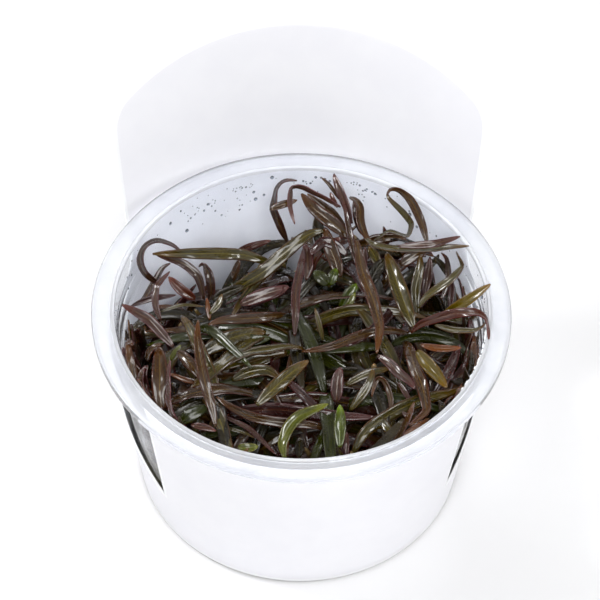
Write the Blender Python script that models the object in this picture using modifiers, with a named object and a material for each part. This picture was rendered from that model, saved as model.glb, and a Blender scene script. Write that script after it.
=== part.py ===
"""Young Hygrophila plants in an in-vitro cup with a card sleeve.

Lengths are in millimetres and are turned into metres when a mesh is made. The origin is the centre of
the cup's flat underside, +Z is up, and the card's tall header stands at the back, towards +Y.
"""

import bpy
import bmesh
from math import acos, cos, pi, radians, sin, sqrt
from mathutils import Vector

MM = 0.001

# Cup
RIM_HEIGHT = 58.0
FLANGE_RADIUS = 50.0
FLANGE_THICKNESS = 0.9
LIP_DROP = 1.9
MOUTH_RADIUS = 45.3
BEAD_RADIUS = 46.2
BEAD_HEIGHT = 0.35
WALL = 0.8
FLOOR = 1.2
BASE_RADIUS = 40.0
LEDGE_LOW = 47.0
LEDGE_HIGH = 50.0
LEDGE_RADIUS_LOW = 45.0
LEDGE_RADIUS_HIGH = 45.6
COLLAR_RADIUS = 45.8
CUP_STEPS = 44

# Card sleeve
CARD = 0.4
CARD_BOTTOM = 0.8
CARD_INNER_BASE = 40.3
CARD_SLOPE = 0.112
FRONT_TOP = 56.2
SLIT_LEFT = radians(-51.1)
SLIT_RIGHT = radians(57.2)
SLIT_HEIGHT = 16.5
SLIT_TILT = 1.5
HEADER_TOP = 95.3
HEADER_ARC = 85.6
HEADER_HALF_WIDTH = 48.4
SHOULDER_RADIUS = 9.0
WING_FILLET = 16.0
WING_TURN = 60
WING_FOOT = 52.0
SPREAD_FROM = 18.0
SPREAD_LENGTH = 40.0
SPREAD_AMOUNT = 0.285
SPREAD_POWER = 1.85
BACK_LEAN = 0.095

# Gel and plants
GAP = 0.3
GEL_TOP = 11.5
LEAF_THICKNESS = 0.5
LEAF_FOLD = 0.12
LEAF_BASE_SHARE = 0.26
LEAF_TIP_SHARE = 0.12
STATION_SPACING = 3.3
STEM_RADIUS = 0.9
STEM_STEPS = 7

# The leaves and shoots are placed by where they are seen against the level plane of the rim from one
# point in front and above, the eye. Each place is x and y on that plane, and the piece's real height.
EYE = Vector((-9.3, -331.5, 463.0))

# Each leaf: its widest width, then its route from base to tip as (x, y, height, turn). A turn of 0 shows
# the blade's full width to the eye, and 90 shows its edge.
LEAVES = {
    "leaf_left_arch": (2.3, (
        (-34.1, 7.0, 46.8, 50), (-37.3, 10.0, 50.6, 60), (-38.8, 14.6, 53.8, 70),
        (-38.0, 18.4, 55.6, 75), (-35.0, 20.6, 56.4, 75), (-31.8, 19.6, 55.0, 65),
        (-29.2, 17.4, 52.4, 50))),
    "leaf_left_long": (3.0, (
        (-6.4, 13.0, 46.5, 0), (-12.5, 15.6, 49.2, 0), (-14.7, 16.1, 49.9, 0),
        (-17.6, 16.3, 50.9, 0), (-24.4, 16.5, 52.4, 10), (-31.2, 16.5, 53.5, 20),
        (-35.9, 16.4, 54.0, 30))),
    "leaf_cross_left": (3.5, (
        (5.7, 23.6, 54.4, 0), (4.1, 23.4, 54.3, 0), (1.8, 22.3, 54.0, 0), (-0.3, 20.4, 53.4, 0),
        (-4.4, 15.9, 51.4, 0), (-8.6, 11.0, 49.0, 0), (-13.4, 7.1, 46.0, 0), (-20.4, 1.3, 41.0, 0))),
    "leaf_back_loop": (2.3, (
        (-3.0, 19.9, 46.5, 30), (-4.7, 24.8, 50.6, 25), (-6.1, 29.7, 53.9, 40),
        (-6.4, 31.6, 55.1, 50), (-6.0, 36.1, 57.0, 65), (-5.4, 38.0, 57.7, 65),
        (-4.3, 39.7, 58.4, 70), (-2.8, 40.5, 58.7, 65), (-0.6, 40.3, 59.0, 60))),
    "leaf_back_strap": (1.9, (
        (-7.2, 30.4, 57.2, 10), (-5.8, 31.6, 57.6, 5), (-0.6, 33.8, 58.4, 0))),
    "leaf_back_hook": (1.5, (
        (10.1, 31.5, 57.6, 50), (6.2, 34.5, 59.3, 70), (2.1, 37.4, 60.7, 75), (0.7, 38.1, 61.2, 75),
        (-0.9, 38.4, 61.5, 80), (-2.2, 38.0, 61.6, 80), (-2.2, 31.6, 60.0, 25),
        (-1.3, 25.8, 57.6, 20))),
    "leaf_back_broad": (3.4, (
        (12.7, 21.4, 52.8, 0), (11.3, 22.5, 53.8, 0), (7.3, 26.9, 56.7, 0), (3.5, 31.0, 58.6, 0),
        (0.5, 35.9, 60.0, 0))),
    "leaf_back_inner": (2.2, (
        (11.3, 23.9, 50.6, -20), (8.2, 29.1, 54.1, -5), (6.2, 31.3, 55.7, 0), (1.9, 35.9, 58.0, 0))),
    "leaf_back_tall": (1.9, (
        (12.8, 26.0, 54.6, 50), (11.0, 33.8, 58.6, 30), (9.1, 40.5, 60.5, 20), (8.8, 42.6, 60.9, 20))),
    "leaf_back_tip": (1.0, (
        (10.0, 33.8, 55.6, 20), (7.6, 38.8, 58.5, 20), (5.5, 41.4, 59.5, 20))),
    "leaf_back_hump": (2.7, (
        (15.6, 22.2, 51.6, 40), (14.9, 24.9, 53.8, 30), (14.2, 30.4, 57.3, 15),
        (13.7, 34.5, 58.9, 30))),
    "leaf_right_sweep": (2.0, (
        (15.4, 22.2, 56.0, 40), (16.6, 20.2, 56.6, 30), (18.0, 19.0, 57.0, 30),
        (22.0, 17.8, 57.6, 30), (25.0, 17.6, 57.9, 35), (31.1, 17.6, 58.4, 30),
        (36.2, 18.3, 59.0, 20), (41.1, 18.6, 59.8, 20))),
    "leaf_right_red": (1.8, (
        (23.8, 18.6, 59.8, 0), (31.2, 19.2, 60.6, 0), (34.3, 19.9, 60.8, 0), (39.1, 21.7, 61.0, 0))),
    "leaf_right_loop": (2.2, (
        (31.0, 19.0, 55.0, 0), (29.9, 26.0, 57.8, 0), (27.9, 32.9, 60.0, 15), (25.8, 36.4, 60.9, 55),
        (24.6, 37.3, 61.0, 65), (23.4, 37.5, 61.0, 75))),
    "leaf_right_loop_inner": (1.8, (
        (18.2, 20.4, 54.0, 40), (21.0, 22.8, 55.0, 55), (22.2, 23.2, 55.4, 55),
        (25.8, 21.7, 56.4, 60), (26.7, 22.2, 56.7, 60), (27.1, 23.3, 57.0, 60),
        (27.4, 24.9, 57.5, 50), (27.2, 26.5, 58.0, 40), (25.5, 29.6, 58.8, 10),
        (22.4, 34.0, 59.7, 20), (22.0, 35.4, 59.9, 35), (22.2, 36.8, 60.0, 50))),
    "leaf_right_bow": (2.2, (
        (27.8, -0.9, 50.4, 0), (28.9, 1.3, 51.7, 5), (30.6, 3.3, 53.0, 15), (36.1, 8.0, 56.3, 30),
        (38.5, 11.0, 57.3, 55), (39.0, 12.9, 57.6, 65), (37.9, 16.8, 57.0, 70))),
    "leaf_right_tip": (2.6, (
        (33.3, -3.0, 52.0, 0), (35.1, -2.0, 53.9, 0), (39.0, 1.0, 57.7, 0), (45.5, 6.5, 61.5, 0))),
    "leaf_right_red_arch": (2.3, (
        (25.7, -8.3, 53.0, 0), (27.5, -6.3, 55.0, 0), (29.6, -5.0, 56.7, 0), (35.7, -2.7, 59.9, 0),
        (39.6, -2.3, 61.0, 20), (41.6, -2.5, 61.2, 45), (43.1, -3.6, 61.2, 65),
        (43.8, -5.3, 60.9, 75), (43.9, -10.4, 59.9, 40))),
    "leaf_right_olive_bow": (1.9, (
        (31.5, -6.1, 54.0, 30), (35.4, -7.5, 55.5, 30), (39.3, -7.9, 56.5, 45),
        (41.3, -7.5, 57.2, 55), (42.7, -6.5, 57.8, 65), (43.5, -5.2, 58.4, 70))),
    "leaf_right_shine": (4.0, (
        (26.5, -7.0, 50.6, 0), (25.4, -3.0, 52.2, 0), (24.0, 3.0, 53.6, 0), (22.8, 8.0, 54.6, 0),
        (21.7, 13.0, 55.2, 0), (20.9, 16.6, 55.4, 0))),
    "leaf_right_upright": (2.6, (
        (27.3, -3.0, 46.4, 0), (27.4, 4.7, 50.2, 0), (28.6, 11.0, 53.1, 0), (29.2, 16.0, 54.8, 0))),
    "leaf_right_mauve": (2.2, (
        (29.4, 3.0, 45.6, 0), (30.4, 8.0, 48.2, 0), (31.0, 12.0, 50.4, 0), (31.4, 15.2, 52.0, 0))),
    "leaf_center_upright": (2.2, (
        (-1.7, -9.2, 47.0, 20), (-1.4, -2.9, 49.3, 10), (-1.3, 4.1, 50.5, 0), (-0.1, 11.7, 51.0, 0),
        (0.7, 17.8, 50.2, 0))),
    "leaf_center_low": (2.0, (
        (-1.7, -11.7, 46.2, 0), (-2.3, -16.1, 46.1, 0), (-3.3, -20.8, 45.4, 0),
        (-4.2, -25.0, 44.4, 0))),
    "leaf_center_red": (2.2, (
        (2.5, 9.5, 44.0, 0), (2.8, 12.4, 46.0, 0), (3.5, 15.0, 47.8, 0), (5.0, 17.7, 49.7, 0),
        (6.6, 19.4, 51.2, 0), (10.1, 21.5, 53.0, 0))),
    "leaf_left_curl": (2.3, (
        (-22.1, 1.6, 43.6, 20), (-21.5, 3.9, 45.6, 20), (-21.9, 9.1, 49.2, 20),
        (-23.2, 12.5, 50.4, 50), (-24.0, 13.0, 50.1, 60), (-24.6, 12.2, 49.4, 60))),
    "leaf_left_red_curve": (2.2, (
        (-23.2, 2.1, 44.8, 30), (-24.3, 7.8, 48.6, 10), (-25.6, 10.4, 50.3, 0),
        (-29.1, 13.7, 51.7, 0), (-34.8, 15.9, 52.0, 0))),
    "leaf_left_dark": (1.8, (
        (-40.1, 0.2, 43.6, 40), (-38.1, 1.3, 44.2, 35), (-36.8, 3.2, 44.9, 30),
        (-35.1, 7.5, 46.5, 20), (-33.3, 11.8, 48.4, 20), (-31.5, 13.3, 49.2, 20))),
    "leaf_left_mauve": (1.8, (
        (-33.3, -4.5, 47.5, 20), (-34.7, 0.6, 49.9, 20), (-34.7, 5.5, 51.6, 25),
        (-34.1, 7.0, 52.0, 30), (-31.6, 10.7, 52.0, 50))),
    "leaf_left_stub": (2.6, (
        (-25.3, 2.1, 44.2, 0), (-28.9, 5.2, 46.7, 0), (-31.8, 9.1, 48.4, 0))),
    "leaf_left_pink": (2.6, (
        (-30.2, -12.3, 52.0, 0), (-35.2, -5.3, 55.6, 0), (-37.0, -3.4, 56.3, 0),
        (-42.7, 0.5, 57.6, 0))),
    "leaf_left_pink_low": (2.6, (
        (-29.2, -13.8, 51.6, 0), (-27.3, -15.7, 52.0, 0), (-25.2, -18.8, 51.4, 0),
        (-23.6, -21.8, 50.0, 0))),
    "leaf_left_maroon_tip": (2.2, (
        (-37.3, -20.5, 46.0, 30), (-39.2, -17.0, 49.0, 20), (-41.0, -14.5, 51.4, 20),
        (-42.2, -12.3, 53.0, 20))),
    "leaf_left_maroon": (2.4, (
        (-35.5, -26.5, 45.0, 30), (-36.6, -23.4, 47.6, 20), (-36.9, -20.4, 49.8, 20),
        (-36.0, -17.8, 51.2, 30))),
    "leaf_left_broad": (4.0, (
        (-32.4, -30.5, 46.6, 0), (-33.0, -26.0, 49.0, 0), (-33.1, -21.0, 50.6, 0),
        (-33.3, -16.0, 51.4, 0), (-33.6, -12.2, 51.4, 0))),
    "leaf_left_rib": (2.0, (
        (-26.8, -35.3, 48.4, 60), (-28.8, -33.6, 49.6, 60), (-30.2, -30.5, 51.4, 55),
        (-30.8, -26.0, 53.2, 55), (-30.9, -20.5, 54.4, 55), (-30.8, -16.2, 54.8, 55))),
    "leaf_front_blade": (3.2, (
        (-20.0, -35.5, 51.0, 0), (-20.6, -32.0, 52.8, 0), (-21.7, -27.0, 55.0, 0),
        (-23.0, -21.0, 57.2, 0), (-24.0, -15.0, 59.0, 0), (-24.6, -9.0, 60.2, 0),
        (-24.5, -4.4, 60.9, 0))),
    "leaf_center_level": (2.6, (
        (-3.1, -2.9, 45.6, 0), (-10.0, -3.6, 48.3, 0), (-18.9, -4.4, 49.6, 0),
        (-22.1, -5.8, 49.4, 0))),
    "leaf_center_wide": (4.2, (
        (-24.0, -14.6, 44.6, 0), (-19.0, -11.0, 46.0, 0), (-15.0, -9.2, 46.2, 0),
        (-11.0, -8.2, 46.0, 0), (-8.6, -8.1, 45.6, 0))),
    "leaf_center_green": (2.6, (
        (-21.5, -18.7, 43.4, 0), (-18.8, -18.3, 44.0, 0), (-15.9, -17.1, 44.7, 0),
        (-10.1, -14.9, 44.8, 0), (-7.1, -14.4, 44.3, 0), (-3.5, -14.5, 42.6, 0))),
    "leaf_front_glossy": (3.4, (
        (-10.7, -29.4, 50.8, 0), (-7.6, -25.6, 52.4, 0), (-2.3, -19.8, 54.1, 0),
        (1.4, -16.6, 55.0, 0))),
    "leaf_front_stub": (3.0, (
        (7.6, -28.8, 47.6, 0), (8.0, -22.5, 51.0, 0), (8.9, -18.6, 52.5, 0))),
    "leaf_center_right": (2.3, (
        (25.1, -8.5, 47.8, 0), (20.4, -7.6, 50.5, 0), (16.5, -8.1, 51.6, 0), (12.5, -9.6, 52.0, 0),
        (6.5, -12.5, 51.5, 0), (-0.1, -13.9, 49.8, 0))),
    "leaf_front_sweep": (4.0, (
        (24.0, -11.1, 46.6, 0), (25.1, -13.5, 49.2, 0), (26.2, -19.0, 51.5, 0),
        (27.5, -23.8, 51.9, 0), (28.1, -30.1, 51.3, 20), (27.7, -31.7, 51.0, 30),
        (24.0, -35.4, 50.4, 40))),
    "leaf_front_orange": (1.5, (
        (28.7, -33.5, 47.6, 0), (25.4, -36.2, 48.3, 0), (20.4, -39.8, 48.6, 0))),
    "leaf_right_yellow": (4.4, (
        (26.9, -13.8, 53.4, 0), (28.7, -17.0, 54.2, 0), (31.0, -20.6, 54.4, 0),
        (33.3, -24.6, 53.8, 0))),
    "leaf_right_orange": (2.0, (
        (27.9, -12.0, 56.0, 0), (31.0, -12.9, 56.4, 0), (34.5, -13.1, 56.6, 0),
        (37.3, -12.9, 56.6, 0))),
    "leaf_back_sweep": (3.0, (
        (13.7, 20.9, 56.0, 20), (14.0, 18.2, 56.0, 5), (14.9, 10.5, 55.8, 0), (16.8, 3.2, 55.5, 0),
        (18.1, -4.0, 55.0, 0), (18.3, -7.5, 54.7, 0), (17.4, -14.5, 53.6, 0))),
    "leaf_front_curve": (2.8, (
        (-4.4, -44.4, 49.4, 0), (-4.9, -40.7, 50.6, 0), (-4.4, -38.4, 51.1, 0),
        (-3.5, -35.9, 51.6, 0), (-2.0, -33.7, 51.9, 0), (0.0, -32.0, 52.0, 0), (5.7, -29.2, 51.8, 0))),
    "leaf_front_green": (2.8, (
        (8.1, -41.5, 49.5, 0), (8.2, -37.0, 51.4, 0), (8.4, -33.0, 52.8, 0), (8.4, -29.5, 53.8, 0))),
    "leaf_front_level": (2.4, (
        (6.5, -36.2, 46.4, 0), (1.5, -35.1, 47.6, 0), (-3.0, -34.6, 48.2, 0), (-7.5, -33.9, 48.6, 0),
        (-12.0, -32.6, 48.8, 0), (-16.5, -30.0, 49.0, 0), (-20.0, -27.0, 49.0, 0))),
}

# Each shoot: where it stands on the gel as (x, y), then where its top is seen as (x, y, height).
SHOOTS = {
    "stem_left": ((-16.0, 12.0), (-22.6, 0.4, 41.6)),
    "stem_left_front": ((-20.0, -6.0), (-28.6, -13.6, 48.6)),
    "stem_back": ((9.0, 26.0), (13.4, 22.4, 48.2)),
    "stem_right": ((20.0, 2.0), (26.0, -8.6, 44.6)),
    "stem_center": ((1.0, 4.0), (3.4, -6.4, 42.6)),
    "stem_front": ((14.0, -14.0), (16.8, -17.4, 48.6)),
}


def seen_at(x, y, height):
    """The place at this height that the eye sees at x and y on the rim's plane."""
    on_rim = Vector((x, y, RIM_HEIGHT))
    return EYE + (on_rim - EYE) * ((EYE.z - height) / (EYE.z - RIM_HEIGHT))


def smooth_route(points, spacing):
    """Points at about this spacing along a smooth curve through the given 4-D points."""
    count = len(points)
    dense = []
    for i in range(count - 1):
        near = (points[min(max(k, 0), count - 1)] for k in (i - 1, i, i + 1, i + 2))
        before, start, end, after = near
        for step in range(16):
            t = step / 16
            bend = (2 * before - 5 * start + 4 * end - after) * t ** 2
            twist = (3 * start - before - 3 * end + after) * t ** 3
            dense.append(0.5 * (2 * start + (end - before) * t + bend + twist))
    dense.append(points[-1])
    travelled = [0.0]
    for a, b in zip(dense, dense[1:]):
        travelled.append(travelled[-1] + (b.xyz - a.xyz).length)
    segments = max(6, round(travelled[-1] / spacing))
    route = []
    index = 0
    for k in range(segments + 1):
        goal = travelled[-1] * k / segments
        while index < len(dense) - 2 and travelled[index + 1] < goal:
            index += 1
        share = (goal - travelled[index]) / (travelled[index + 1] - travelled[index])
        route.append(dense[index].lerp(dense[index + 1], min(share, 1.0)))
    return route


def collection(name, hidden=False):
    made = bpy.data.collections.new(name)
    made.hide_render = hidden
    bpy.context.scene.collection.children.link(made)
    return made


def material(name, colour, roughness, metallic=0.0, alpha=1.0):
    made = bpy.data.materials.new(name)
    made.use_nodes = True
    shader = made.node_tree.nodes["Principled BSDF"]
    shader.inputs["Base Color"].default_value = (*colour, 1.0)
    shader.inputs["Roughness"].default_value = roughness
    shader.inputs["Metallic"].default_value = metallic
    shader.inputs["Alpha"].default_value = alpha
    return made


def add_object(name, mesh, finish, group):
    made = bpy.data.objects.new(name, mesh)
    mesh.materials.append(finish)
    group.objects.link(made)
    return made


def mesh_from(name, bm):
    mesh = bpy.data.meshes.new(name)
    bm.to_mesh(mesh)
    bm.free()
    return mesh


def arc(centre_r, centre_z, radius, start, end, steps):
    """Profile points on an arc, with angles in degrees from the outward direction."""
    angles = [radians(start + (end - start) * k / steps) for k in range(steps + 1)]
    return [(centre_r + radius * cos(a), centre_z + radius * sin(a)) for a in angles]


def cup_profile():
    """The cup's section, from the middle of its floor up the inside and down the outside."""
    lip = FLANGE_THICKNESS / 2
    profile = [(0.0, FLOOR), (BASE_RADIUS - WALL - 1.5, FLOOR)]
    profile += arc(BASE_RADIUS - WALL - 1.5, FLOOR + 1.5, 1.5, -60, 0, 2)
    profile += [
        (LEDGE_RADIUS_LOW - WALL, LEDGE_LOW),
        (LEDGE_RADIUS_HIGH - WALL, LEDGE_HIGH),
        (MOUTH_RADIUS, RIM_HEIGHT - 0.6),
        (MOUTH_RADIUS + 0.25, RIM_HEIGHT + BEAD_HEIGHT * 0.7),
        ((MOUTH_RADIUS + BEAD_RADIUS) / 2, RIM_HEIGHT + BEAD_HEIGHT),
        (BEAD_RADIUS, RIM_HEIGHT),
    ]
    profile += arc(FLANGE_RADIUS - lip, RIM_HEIGHT - lip, lip, 90, 0, 2)
    profile += [
        (FLANGE_RADIUS, RIM_HEIGHT - LIP_DROP),
        (FLANGE_RADIUS - WALL, RIM_HEIGHT - LIP_DROP),
        (FLANGE_RADIUS - WALL, RIM_HEIGHT - FLANGE_THICKNESS),
        (COLLAR_RADIUS, RIM_HEIGHT - FLANGE_THICKNESS),
        (LEDGE_RADIUS_HIGH, LEDGE_HIGH),
        (LEDGE_RADIUS_LOW, LEDGE_LOW),
    ]
    profile += arc(BASE_RADIUS - 1.2, 1.2, 1.2, 0, -90, 3)
    profile.append((0.0, 0.0))
    return profile


def make_cup(group):
    bm = bmesh.new()
    verts = [bm.verts.new((r * MM, 0, z * MM)) for r, z in cup_profile()]
    for a, b in zip(verts, verts[1:]):
        bm.edges.new((a, b))
    finish = material("clear_plastic", (0.86, 0.89, 0.93), 0.12, alpha=0.4)
    cup = add_object("cup", mesh_from("cup", bm), finish, group)
    turned = cup.modifiers.new("turned", "SCREW")
    turned.steps = turned.render_steps = CUP_STEPS
    turned.use_merge_vertices = True
    turned.merge_threshold = 0.00001
    return cup


def card_inner(z):
    return CARD_INNER_BASE + CARD_SLOPE * z


def wrap_front(angle, z):
    """A place on the card's inner face round the cup: angle 0 is the front, and grows towards +X."""
    return Vector((card_inner(z) * sin(angle), -card_inner(z) * cos(angle), z))


def wrap_back(angle, z):
    """A place on the rear panel, at this angle round the cup from the middle of the back towards +X.

    Above the slits the card springs back and opens out flatter, so that it clears the flange."""
    rise = max(0.0, (z - SPREAD_FROM) / SPREAD_LENGTH)
    radius = card_inner(z) * (1 + SPREAD_AMOUNT * rise ** SPREAD_POWER)
    back = card_inner(z) + BACK_LEAN * max(0.0, z - SPREAD_FROM)
    turn = angle * card_inner(z) / radius
    return Vector((radius * sin(turn), back - radius + radius * cos(turn), z))


def wrap_header(u, z):
    """A place on the rear panel, u millimetres of card from its middle line."""
    return wrap_back(u / card_inner(z), z)


def slit_height(angle):
    """The card's slits end a little higher on the left than on the right."""
    return SLIT_HEIGHT - SLIT_TILT * sin(angle)


def header_half():
    """The header's outline from the top's middle out to its straight side, as (u, z)."""
    corner_u = HEADER_HALF_WIDTH - SHOULDER_RADIUS
    centre_z = HEADER_TOP - HEADER_ARC
    corner_z = centre_z + sqrt((HEADER_ARC - SHOULDER_RADIUS) ** 2 - corner_u ** 2)
    meet = acos((corner_z - centre_z) / (HEADER_ARC - SHOULDER_RADIUS))
    top = [(HEADER_ARC * sin(meet * k / 7), centre_z + HEADER_ARC * cos(meet * k / 7)) for k in range(7)]
    shoulder = []
    for k in range(7):
        angle = meet + (pi / 2 - meet) * k / 6
        shoulder.append((corner_u + SHOULDER_RADIUS * sin(angle), corner_z + SHOULDER_RADIUS * cos(angle)))
    return top + shoulder


def wing_half(tip_angle, tip_z):
    """The edge from the foot of the header's side down to the slit's end, as (angle, z)."""
    points = []
    for k in range(1, 5):
        turn = radians(WING_TURN * k / 4)
        z = WING_FOOT - WING_FILLET * sin(turn)
        points.append(((HEADER_HALF_WIDTH + WING_FILLET * (1 - cos(turn))) / card_inner(z), z))
    last_u = points[-1][0] * card_inner(points[-1][1])
    last_z = points[-1][1]
    tip_u = tip_angle * card_inner(tip_z)
    for k in range(1, 8):
        z = last_z + (tip_z - last_z) * k / 7
        points.append(((last_u + (tip_u - last_u) * k / 7) / card_inner(z), z))
    return points


def add_patch(bm, columns, rows, place):
    """A grid of card: columns of (across, low, high), with its points put where place(across, z) says."""
    made = bmesh.ops.create_grid(bm, x_segments=len(columns) - 1, y_segments=rows, size=0.5)
    for vert in made["verts"]:
        column = round((vert.co.x + 0.5) * (len(columns) - 1))
        across, low, high = columns[column]
        vert.co = place(across, low + (high - low) * (vert.co.y + 0.5)) * MM


def make_sleeve(group):
    header = header_half()
    back = []
    for side, slit in ((-1, SLIT_LEFT), (1, SLIT_RIGHT)):
        outline = [(u / card_inner(WING_FOOT), WING_FOOT) for u, z in header]
        outline += wing_half(pi - abs(slit), slit_height(slit))
        back += [(side * angle, slit_height(pi - side * angle), z) for angle, z in outline]
    back = sorted(set(back))
    top = sorted({(side * u, WING_FOOT, z) for side in (-1, 1) for u, z in header})
    front = [SLIT_LEFT + (SLIT_RIGHT - SLIT_LEFT) * k / 16 for k in range(17)]
    bm = bmesh.new()
    add_patch(bm, [(angle, slit_height(angle), FRONT_TOP) for angle in front], 1, wrap_front)
    add_patch(bm, [(angle, CARD_BOTTOM, slit_height(angle)) for angle in front], 1, wrap_front)
    add_patch(bm, [(angle, CARD_BOTTOM, low) for angle, low, high in back], 1, wrap_back)
    add_patch(bm, back, 3, wrap_back)
    add_patch(bm, top, 3, wrap_header)
    bmesh.ops.remove_doubles(bm, verts=bm.verts, dist=0.02 * MM)
    bmesh.ops.dissolve_degenerate(bm, edges=bm.edges, dist=0.01 * MM)
    bmesh.ops.recalc_face_normals(bm, faces=bm.faces)
    finish = material("white_card", (0.90, 0.90, 0.94), 0.5)
    sleeve = add_object("card_sleeve", mesh_from("card_sleeve", bm), finish, group)
    wall = sleeve.modifiers.new("card", "SOLIDIFY")
    wall.thickness = CARD * MM
    wall.offset = 1.0
    return sleeve


def make_gel(group):
    low, high = FLOOR + GAP, GEL_TOP
    wall_rise = (LEDGE_RADIUS_LOW - BASE_RADIUS) / LEDGE_LOW
    bm = bmesh.new()
    bmesh.ops.create_cone(
        bm, cap_ends=True, segments=40,
        radius1=(BASE_RADIUS - WALL - 1.5) * MM,
        radius2=(BASE_RADIUS - WALL - 2 * GAP + wall_rise * high) * MM,
        depth=(high - low) * MM)
    bmesh.ops.translate(bm, verts=bm.verts, vec=(0, 0, (low + high) / 2 * MM))
    finish = material("gel", (0.55, 0.53, 0.38), 0.2)
    return add_object("growth_gel", mesh_from("growth_gel", bm), finish, group)


def blade_share(t):
    """How wide a blade is at t of its length, as a share of its widest."""
    body = sin(pi * min(max(t, 0.0), 1.0) ** 0.9) ** 0.75 if 0 < t < 1 else 0.0
    ends = LEAF_BASE_SHARE * (1 - t) + LEAF_TIP_SHARE * t
    return max(body, ends)


def make_leaf(name, width, points, finish, group):
    places = []
    for x, y, height, turn in points:
        places.append(Vector((*seen_at(x, y, height), radians(turn))))
    route = smooth_route(places, STATION_SPACING)
    last = len(route) - 1
    bm = bmesh.new()
    made = bmesh.ops.create_grid(bm, x_segments=2, y_segments=last, size=0.5)
    for vert in made["verts"]:
        station = round((vert.co.y + 0.5) * last)
        across = vert.co.x * 2
        here = route[station]
        ahead = (route[min(station + 1, last)] - route[max(station - 1, 0)]).xyz.normalized()
        sight = (EYE - here.xyz).normalized()
        flat = ahead.cross(sight).normalized()
        upward = flat.cross(ahead)
        side = flat * cos(here.w) + upward * sin(here.w)
        facing = upward * cos(here.w) - flat * sin(here.w)
        half = width / 2 * blade_share(station / last)
        vert.co = (here.xyz + side * across * half + facing * abs(across) * half * 2 * LEAF_FOLD) * MM
    bmesh.ops.recalc_face_normals(bm, faces=bm.faces)
    leaf = add_object(name, mesh_from(name, bm), finish, group)
    blade = leaf.modifiers.new("blade", "SOLIDIFY")
    blade.thickness = LEAF_THICKNESS * MM
    blade.offset = 0.0
    return leaf


def make_shoot(name, foot, top, finish, group):
    start = Vector((foot[0], foot[1], GEL_TOP + GAP, 0.0))
    end = Vector((*seen_at(*top), 0.0))
    middle = start.lerp(end, 0.5) + Vector((0.06 * (end.y - start.y), 0.06 * (start.x - end.x), 0, 0)) * 1.5
    route = smooth_route([start, middle, end], (end - start).length / STEM_STEPS)
    curve = bpy.data.curves.new(name, "CURVE")
    curve.dimensions = "3D"
    curve.bevel_depth = STEM_RADIUS * MM
    curve.bevel_resolution = 1
    curve.use_fill_caps = True
    line = curve.splines.new("POLY")
    line.points.add(len(route) - 1)
    for point, place in zip(line.points, route):
        point.co = (*(place.xyz * MM), 1.0)
    return add_object(name, curve, finish, group)


def leaf_finish(name, finishes):
    for word, finish in finishes.items():
        if word in name:
            return finish
    return finishes[""]


def main():
    for old in list(bpy.data.objects):
        bpy.data.objects.remove(old, do_unlink=True)
    group = collection("plants_in_cup")
    make_cup(group)
    make_sleeve(group)
    make_gel(group)
    finishes = {
        "green": material("green_leaf", (0.09, 0.16, 0.02), 0.3),
        "yellow": material("yellow_leaf", (0.24, 0.20, 0.03), 0.3),
        "orange": material("orange_leaf", (0.28, 0.10, 0.03), 0.3),
        "red": material("red_leaf", (0.20, 0.07, 0.06), 0.3),
        "pink": material("pink_leaf", (0.22, 0.11, 0.10), 0.3),
        "maroon": material("maroon_leaf", (0.13, 0.04, 0.05), 0.3),
        "": material("brown_leaf", (0.10, 0.07, 0.04), 0.3),
    }
    for name, (width, points) in LEAVES.items():
        make_leaf(name, width, points, leaf_finish(name, finishes), group)
    stem_finish = material("stem", (0.20, 0.14, 0.04), 0.4)
    for name, (foot, top) in SHOOTS.items():
        make_shoot(name, foot, top, stem_finish, group)
    for made in group.objects:
        if made.type == "MESH":
            made.data.shade_smooth()


main()
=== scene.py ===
# %% [markdown]
# # Young aquarium plants in an in-vitro cup
#
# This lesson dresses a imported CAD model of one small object: a clear plastic cup with a wide flange,
# a white card sleeve with a raised header, a disc of nutrient gel, and a clump of red-brown water
# plants that fills the cup to its rim. The CAD model fixes every size and place. Each chapter takes
# one piece, says what it is on the real object, how it could be made, and why one way was chosen.

# %% Load the fixed frame
import random
from functools import partial
from math import acos, asin, cos, exp, hypot, log, pi, radians, sin, sqrt

import bmesh
import bpy
from mathutils import Matrix, Vector


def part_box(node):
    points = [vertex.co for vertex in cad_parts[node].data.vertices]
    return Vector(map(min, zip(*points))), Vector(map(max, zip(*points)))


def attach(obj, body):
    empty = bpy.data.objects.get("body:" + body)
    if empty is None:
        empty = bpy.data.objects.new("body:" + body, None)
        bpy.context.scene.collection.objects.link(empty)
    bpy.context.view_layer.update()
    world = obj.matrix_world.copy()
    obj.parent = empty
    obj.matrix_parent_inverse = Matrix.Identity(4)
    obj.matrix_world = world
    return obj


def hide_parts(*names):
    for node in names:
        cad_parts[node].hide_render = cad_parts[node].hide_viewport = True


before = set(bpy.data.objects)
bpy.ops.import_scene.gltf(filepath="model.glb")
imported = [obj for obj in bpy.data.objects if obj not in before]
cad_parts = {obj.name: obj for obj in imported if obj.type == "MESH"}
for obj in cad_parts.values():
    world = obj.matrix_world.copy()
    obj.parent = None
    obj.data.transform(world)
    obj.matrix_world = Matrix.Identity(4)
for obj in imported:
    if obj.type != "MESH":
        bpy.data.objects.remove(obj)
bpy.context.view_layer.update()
MM = 0.001

# %% [markdown]
# ## One eye for camera and leaves
#
# The photograph was taken from in front and well above. The leaves were placed by where this one eye
# sees them: each route point gives x and y on the level plane of the rim, and the point's real
# height, and `seen_at` slides it along the line of sight. A leaf can then be raised or lowered
# without leaving its place in the picture. Plain coordinates would have worked too, but every change
# of height would then have needed a new x and y.

# %% The eye and its line of sight
RIM_HEIGHT = 58.0
EYE = Vector((-9.3, -331.5, 463.0))
SIGHT = Vector((0.0171, 0.6353, -0.7721)).normalized()
ROLL = radians(1.017)
FOCAL_PIXELS = 2200.0
IMAGE_PIXELS = 600.0
SENSOR_WIDTH = 36.0


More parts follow.
